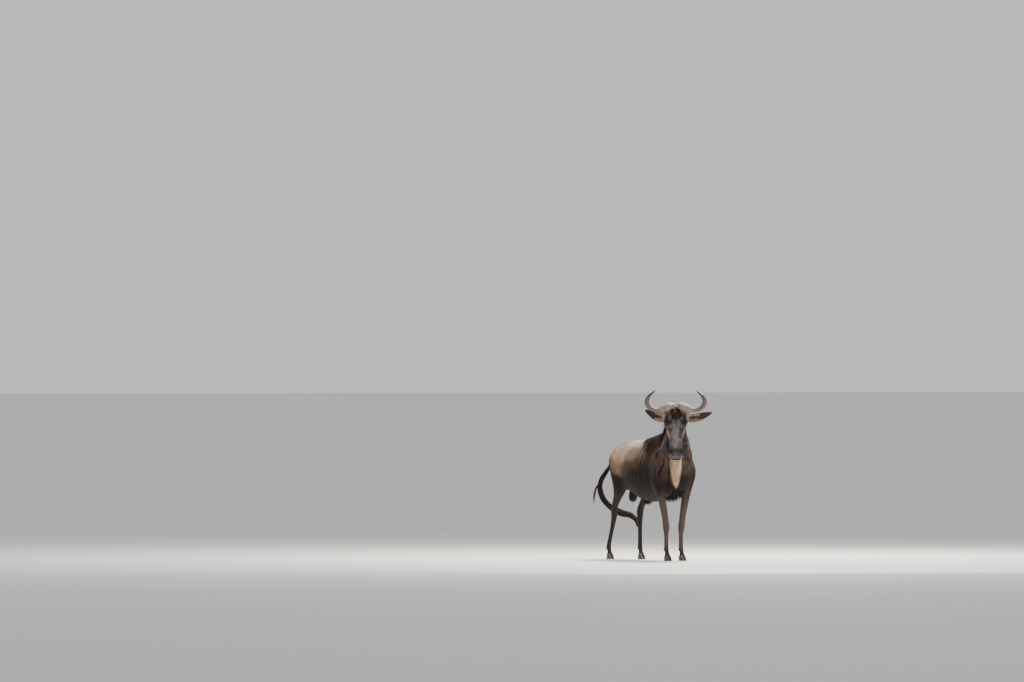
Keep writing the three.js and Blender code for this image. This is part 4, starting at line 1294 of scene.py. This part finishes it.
def lock_profile(pieces):
    """How wide a lock is along its run: narrow at the root, then full, then drawn in."""
    swell = (0.55, 0.85) + (1.0,) * (pieces - 2)
    return [wide * (1 - 0.55 * (k / pieces) ** 2) for k, wide in enumerate(swell)]


def black_base(bench):
    brown_tint = bench.fade(bench.kept("shade"), 0.45, 1.0)
    colour = bench.blend(brown_tint, paint(24, 20, 20), paint(66, 52, 45))
    to_tip = bench.fade(bench.kept("along"), 0.4, 1.0)
    return bench.blend(bench.times(to_tip, 0.35), colour, paint(60, 46, 38))


black_hair = hair_finish("black_hair", 0.64, 0.0006, black_base, 0.9, 0.14)

# Ear fringes. Pale hair along the edges of each ear, most of it on the lower one, and in two rows in the
# hollow. Each lock is rooted in the ear's hide.


def fringe_base(bench):
    return bench.blend(bench.fade(bench.kept("shade"), 0.2, 0.9), paint(150, 120, 96), paint(226, 206, 178))


pale_hair = hair_finish("ear_hair", 0.5, 0.0005, fringe_base)
FRINGE_LOCKS, FRINGE_PIECES = 900, 4
for side, name in ((-1, "right"), (1, "left")):
    in_hollow = rng.random(FRINGE_LOCKS) < 0.36
    share = np.where(in_hollow, rng.uniform(0.02, 0.5, FRINGE_LOCKS), 0.05 + 0.87 * rng.random(FRINGE_LOCKS))
    rows = rng.choice((-0.72, 0.7), FRINGE_LOCKS) + rng.normal(0, 0.16, FRINGE_LOCKS)
    edge = np.where(rng.random(FRINGE_LOCKS) < 0.72, -0.99, 0.97)
    across = np.where(in_hollow, rows, edge)
    depth_side = np.where(in_hollow, -1.0, -0.15)
    starts = ear_points(side, share, across, depth_side, EAR_WALL)
    onward = ear_points(side, share + 0.06, across, depth_side, EAR_WALL) - starts
    outward = ear_points(side, share, across * 1.3, depth_side, EAR_WALL) - starts
    forward = -np.cross(onward, ear_points(side, share, across + 0.1, depth_side, EAR_WALL) - starts) * side
    forward = unit(forward) * np.sign((unit(forward) @ head_level))[:, None]
    aslant = np.where(in_hollow[:, None], 0.55 * forward, 0.5 * unit(outward) + 0.15 * forward)
    ways = unit(unit(onward) + aslant + rng.normal(0, 0.12, (FRINGE_LOCKS, 3)))
    lengths = np.where(in_hollow, 0.024, 0.020) * rng.uniform(0.6, 1.3, FRINGE_LOCKS)
    lengths = lengths * smoothstep(-0.06, 0.2, share)
    t = np.linspace(0, 1, FRINGE_PIECES + 1)[None, :, None]
    drooping = t * ways[:, None] - 0.18 * t ** 2 * UP
    paths = (starts - 0.001 * ways)[:, None] + lengths[:, None, None] * drooping
    fringe = tufted(
        f"ear_fringe_{name}", paths, unit(np.cross(ways, forward)), rng.uniform(0.0010, 0.0020, FRINGE_LOCKS),
        np.full(FRINGE_LOCKS, 0.0007), homes_of(starts), {"root": starts, "shade": rng.random(FRINGE_LOCKS)},
        pale_hair, (0.7, 1.0, 0.85, 0.5))

# Lashes. A row of stiff black hairs, rooted in the rim of each upper lid, that stand out over the eye and
# droop a little.
LASHES = 54
for side, name, centre in ((-1, "right", eye_centres[0]), (1, "left", eye_centres[1])):
    a = np.linspace(-0.62, 0.66, LASHES) + rng.normal(0, 0.01, LASHES)
    o = 0.03 - 0.12 * a + 0.52 * np.sqrt(1 - (a / 0.80) ** 2) ** 1.3 + 0.03
    ways = a[:, None] * EYE_ALONG + o[:, None] * EYE_OVER + np.sqrt(1 - a ** 2 - o ** 2)[:, None] * EYE_LOOK
    mirrored = np.array((side, 1, 1))
    starts = centre + (0.0215 * ways * mirrored) @ HEAD_AXES.T
    ways = unit(0.9 * ways + 0.35 * EYE_LOOK - 0.1 * EYE_OVER + rng.normal(0, 0.08, (LASHES, 3)))
    ways = (ways * mirrored) @ HEAD_AXES.T
    t = np.linspace(0, 1, 5)[None, :, None]
    lengths = rng.uniform(0.010, 0.015, LASHES)[:, None, None]
    paths = starts[:, None] + lengths * (t * ways[:, None] - 0.35 * t ** 2 * UP)
    lashes = tufted(
        f"lashes_{name}", paths, unit(np.cross(ways, UP)), np.full(LASHES, 0.0006), np.full(LASHES, 0.0004),
        homes_of(starts), {"root": starts, "shade": np.zeros(LASHES)}, black_hair, (1.0, 0.9, 0.7, 0.4))

# Belly hair. A dark tuft hangs from the front of the sheath, and a dark fringe from the brisket between the
# fore legs.
below = on_body(face_middles)
face_ways = skin_normals[corner_ids].mean(1)


def within(half_width, back, height):
    """Which triangles of the hide lie in a box about the middle plane."""
    inside = np.abs(below[:, 0]) < half_width
    for k, (low, high) in enumerate((back, height), 1):
        inside &= (below[:, k] > low) & (below[:, k] < high)
    return inside


on_sheath = within(0.03, (0.47, 0.60), (0, 0.59))
on_brisket = within(0.06, (-0.13, 0.10), (0.56, 0.70)) & (face_ways[:, 2] < -0.45)
for name, where_grown, locks, longest in (
        ("sheath_hair", on_sheath, 260, 0.042), ("brisket_hair", on_brisket, 620, 0.062)):
    starts, out, flat_homes, _ = roots_on_hide(where_grown * locks / (where_grown * face_areas).sum())
    ways = unit(0.6 * out + (0, 0.5, -0.3) + rng.normal(0, 0.16, starts.shape))
    lengths = longest * rng.uniform(0.3, 1.0, len(starts))
    paths = grown(starts - 0.002 * out, ways, lengths, 5, lambda p, t: -0.35 * UP, 0.003)
    hair = tufted(
        name, paths, unit(np.cross(ways, rng.normal(0, 1, starts.shape))),
        rng.uniform(0.0015, 0.003, len(starts)), rng.uniform(0.0006, 0.0012, len(starts)), flat_homes,
        {"root": starts, "shade": rng.random(len(starts))}, black_hair, lock_profile(5))

# Mane. Coarse black hair from the poll down the crest to the withers, fallen mostly to the right, with dark
# strands down over the shoulder.
MANE_LINE = np.array([
    (-0.060, 0.126, 1.452), (-0.058, 0.080, 1.425), (-0.046, 0.030, 1.382), (-0.032, -0.030, 1.330),
    (-0.020, -0.095, 1.285), (-0.012, -0.170, 1.250), (-0.008, -0.260, 1.222), (-0.004, -0.340, 1.205),
])
MANE_LOCKS, MANE_PIECES = 1300, 10


def along_body(stations, shares):
    """Places on a path through stations, each (left of the middle, ahead of the fore feet, height)."""
    return through_stations(stations, shares) * (1, -1, 1) + (MIDDLE_X, FOREFEET_Y, 0)


def onto_hide(starts):
    """Roots brought to just under the hide, and the way out of it there."""
    for _ in range(4):
        off, out = slope_of_skin(starts)
        starts = starts - (off + 0.002)[:, None] * out
    return starts, out


share = np.sort(rng.random(MANE_LOCKS))
starts = along_body(MANE_LINE, share)
starts[:, 0] += rng.normal(0, 0.012, MANE_LOCKS)
starts, _ = onto_hide(starts)
fall_side = np.where(rng.random(MANE_LOCKS) < 0.68, -1, 1)
_, out = slope_of_skin(starts)
ways = unit(0.4 * out + 0.2 * np.array((0, 1, 0)) + 0.9 * fall_side[:, None] * np.array((1, 0, 0))
            + rng.normal(0, 0.14, (MANE_LOCKS, 3)))
lengths = 0.10 + 0.20 * np.sin(np.pi * np.clip(share * 0.95 + 0.02, 0, 1)) ** 0.7
lengths = lengths * (0.28 + 0.92 * rng.random(MANE_LOCKS) ** 1.4) * smoothstep(-0.12, 0.2, share)
lengths = lengths * np.where(fall_side > 0, 0.75, 1.0)
waves = rng.normal(0, 0.05, (MANE_LOCKS, 3))


def mane_fall(p, t):
    return 0.55 * np.array((0, 0.12, -1)) + waves * math.sin(9 * t)


def flat_on_hide(paths, k):
    """Sideways along the hide at point k of each path, so that locks lie flat."""
    _, out = slope_of_skin(paths[:, k])
    return np.cross(paths[:, k + 1] - paths[:, k - 1], out)


paths = grown(starts, ways, lengths, MANE_PIECES, mane_fall, 0.007)
mane = tufted(
    "mane_locks", paths, flat_on_hide(paths, 5), rng.uniform(0.003, 0.007, MANE_LOCKS),
    rng.uniform(0.001, 0.002, MANE_LOCKS), homes_of(starts),
    {"root": starts, "shade": rng.random(MANE_LOCKS)}, black_hair, lock_profile(MANE_PIECES))
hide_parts("mane")

# Forelock. A short brush of coarse black hair that grows from the hide between the horn bosses and hangs over
# the forehead.
FORELOCK_LOCKS, FORELOCK_PIECES = 700, 6
share = rng.random(FORELOCK_LOCKS)
aside = rng.normal(0, 0.011, FORELOCK_LOCKS)
starts = np.stack([aside, -0.045 + 0.105 * share, np.full(FORELOCK_LOCKS, 0.085)], 1)
starts, out = onto_hide(head_origin + starts @ HEAD_AXES.T)
ways = unit(out + 0.9 * head_ahead + 5 * aside[:, None] * head_left
            + rng.normal(0, 0.12, (FORELOCK_LOCKS, 3)))
lengths = rng.uniform(0.045, 0.085, FORELOCK_LOCKS)
paths = grown(
    starts, ways, lengths, FORELOCK_PIECES, lambda p, t: 0.30 * head_ahead - 0.34 * head_above, 0.004)
forelock = tufted(
    "forelock_locks", paths, flat_on_hide(paths, 3), rng.uniform(0.0035, 0.006, FORELOCK_LOCKS),
    rng.uniform(0.001, 0.002, FORELOCK_LOCKS), homes_of(starts),
    {"root": starts, "shade": rng.random(FORELOCK_LOCKS) ** 1.6}, black_hair, lock_profile(FORELOCK_PIECES))
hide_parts("forelock")

# Beard. Long cream hair, with painted shade darkening its right side, that grows from the lower jaw and
# throat in clumps, hangs and draws in to one ragged point.
BEARD_LOCKS, BEARD_CLUMPS, BEARD_PIECES = 3400, 60, 9
# How far ahead of the skull's middle the roots are, and how high their tips hang.
BEARD_TIPS = np.array([
    (-0.03, 0.765), (0.03, 0.690), (0.09, 0.660), (0.15, 0.700), (0.205, 0.80), (0.25, 0.905),
])


def beard_base(bench):
    fair = bench.fade(bench.kept("shade"), 0.25, 0.9)
    colour = bench.blend(fair, paint(206, 176, 138), paint(242, 226, 196))
    leftward = bench.minus(bench.dot(bench.kept("root", "Vector"), head_left), float(head_origin @ head_left))
    # Painted shade: the beard's right side is darkened to brown.
    colour = bench.blend(bench.times(bench.fade(leftward, -0.012, -0.045), 0.75), colour, paint(128, 98, 76))
    to_tip = bench.fade(bench.kept("along"), 0.65, 1.0)
    return bench.blend(bench.times(to_tip, 0.3), colour, paint(176, 140, 106))


beard_hair = hair_finish("beard_hair", 0.42, 0.0008, beard_base)
below_jaw = to_head(face_middles)
under = near_head(face_middles) & (face_ways @ head_above < -0.25) & (np.abs(below_jaw[:, 0]) < 0.036)
under &= (below_jaw[:, 1] > 0.16) & (below_jaw[:, 1] < 0.44) & (below_jaw[:, 2] > -0.16)
beard_density = np.where(under, 1.0, 0)
beard_density *= BEARD_LOCKS / (beard_density * face_areas).sum()
starts, out, beard_homes, _ = roots_on_hide(beard_density)
count = len(starts)
level_ahead = (starts - head_origin) @ head_level
tips = np.interp(level_ahead, *BEARD_TIPS.T)
clump_roots = starts[rng.integers(0, count, BEARD_CLUMPS)]
clump = np.argmin(np.linalg.norm(starts[:, None] - clump_roots, axis=-1), axis=1)
lengths = np.maximum(starts[:, 2] - tips, 0.06) * rng.uniform(0.45, 1.0, count) ** 0.6
lengths = lengths * rng.uniform(0.66, 1.04, BEARD_CLUMPS)[clump]
ways = unit(0.45 * out - 0.75 * UP - 0.35 * head_level + rng.normal(0, 0.08, (count, 3)))
beard_middle = head_origin + 0.10 * head_level
waves = rng.normal(0, 0.04, (count, 3)) + rng.normal(0, 0.10, (BEARD_CLUMPS, 3))[clump]
shades = 0.5 * rng.random(count) + 0.5 * rng.random(BEARD_CLUMPS)[clump]
wave_start = rng.uniform(0, 6, BEARD_CLUMPS)[clump][:, None]


def beard_fall(p, t):
    inward = (beard_middle - p) * (1, 1, 0)
    return -0.30 * UP + (1.1 + 1.1 * t) * inward + waves * np.sin(9 * t + wave_start)


paths = grown(starts - 0.002 * out, ways, lengths, BEARD_PIECES, beard_fall, 0.003)
hangs = np.abs(to_head(paths.reshape(-1, 3))[:, 0]).reshape(count, -1).max(1) < 0.058
paths, starts, beard_homes, shades = (values[hangs] for values in (paths, starts, beard_homes, shades))
count = len(starts)
beard = tufted(
    "beard_locks", paths, unit(np.cross(UP, rng.normal(0, 1, (count, 3)))),
    rng.uniform(0.0014, 0.0036, count), rng.uniform(0.0007, 0.0014, count), beard_homes,
    {"root": starts, "shade": shades}, beard_hair, lock_profile(BEARD_PIECES))
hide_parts("beard")

# Tail. A switch of long black hair on the dock, swung to the right and then left behind the hocks, with one
# loose lock where it bends.
TAIL_PATH = np.array([
    (0, -1.040, 1.015), (-0.020, -1.112, 0.984), (-0.070, -1.158, 0.916), (-0.124, -1.186, 0.828),
    (-0.166, -1.204, 0.736), (-0.160, -1.206, 0.640), (-0.112, -1.198, 0.552), (-0.034, -1.190, 0.486),
    (0.056, -1.178, 0.446), (0.128, -1.140, 0.424), (0.168, -1.096, 0.380), (0.176, -1.082, 0.312),
])
TAIL_GIRTHS = np.array([36, 29, 25, 26, 29, 30, 30, 31, 37, 32, 23, 6])[:, None] / 1000
TAIL_LOCKS, TAIL_PIECES = 2000, 12
reach = rng.uniform(0.16, 0.40, TAIL_LOCKS)
begin = 0.17 + rng.random(TAIL_LOCKS) ** 0.9 * 0.62
end = np.minimum(begin + reach, 1.0)
share = begin[:, None] + (end - begin)[:, None] * np.linspace(0, 1, TAIL_PIECES + 1)
flat_share = share.ravel()
middle = along_body(TAIL_PATH, flat_share)
ahead = along_body(TAIL_PATH, np.minimum(flat_share + 0.01, 1))
behind = along_body(TAIL_PATH, np.maximum(flat_share - 0.01, 0))
tangent = unit(ahead - behind)
first_way = unit(np.cross(tangent, (0, 1, 0)))
second_way = np.cross(tangent, first_way)
girth = through_stations(TAIL_GIRTHS, flat_share)[:, 0].reshape(share.shape)
angle = rng.uniform(0, 2 * np.pi, TAIL_LOCKS)[:, None]
angle = angle + rng.normal(0, 0.5, TAIL_LOCKS)[:, None] * (share - begin[:, None]) * 4
spread = rng.uniform(0.15, 1, TAIL_LOCKS)[:, None] ** 0.5
ease_in = np.linspace(0.35, 1, TAIL_PIECES + 1) ** 0.5
loose = 1 + 0.10 * np.sin(rng.uniform(0, 6, TAIL_LOCKS)[:, None] + share * 30)
radius = girth * spread * ease_in * loose * 0.92
paths = middle + (radius * np.cos(angle)).ravel()[:, None] * first_way
paths = paths + (radius * np.sin(angle)).ravel()[:, None] * second_way
paths = paths.reshape(TAIL_LOCKS, TAIL_PIECES + 1, 3)
sides = np.cross(paths[:, 4] - paths[:, 3], (paths[:, 3] - middle.reshape(paths.shape)[:, 3]))
dock_end = along_body(TAIL_PATH, np.clip(begin, 0, 0.27))
switch = tufted(
    "tail_switch", paths, unit(sides), rng.uniform(0.005, 0.010, TAIL_LOCKS),
    rng.uniform(0.0014, 0.0028, TAIL_LOCKS), homes_of(dock_end),
    {"root": dock_end, "shade": rng.random(TAIL_LOCKS)}, black_hair, lock_profile(TAIL_PIECES))
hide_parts("tail_switch_upper", "tail_switch_lower")

WISP_PATH = np.array([(-0.160, -1.203, 0.775), (-0.172, -1.206, 0.735), (-0.208, -1.210, 0.692),
                      (-0.230, -1.211, 0.610), (-0.234, -1.208, 0.494)])
WISP_LOCKS, WISP_PIECES = 46, 10
share = np.linspace(0, 1, WISP_PIECES + 1)[None] * rng.uniform(0.6, 1.0, WISP_LOCKS)[:, None]
drift = rng.normal(0, 0.0042, (WISP_LOCKS, 1, 3)) * (0.5 + share[..., None])
paths = along_body(WISP_PATH, share.ravel()).reshape(WISP_LOCKS, WISP_PIECES + 1, 3) + drift
wisp_root = np.repeat(dock_end[:1], WISP_LOCKS, 0)
wisp = tufted(
    "tail_wisp", paths, unit(rng.normal(0, 1, (WISP_LOCKS, 3))), rng.uniform(0.003, 0.005, WISP_LOCKS),
    rng.uniform(0.001, 0.002, WISP_LOCKS), homes_of(wisp_root),
    {"root": wisp_root, "shade": rng.random(WISP_LOCKS)}, black_hair, lock_profile(WISP_PIECES))
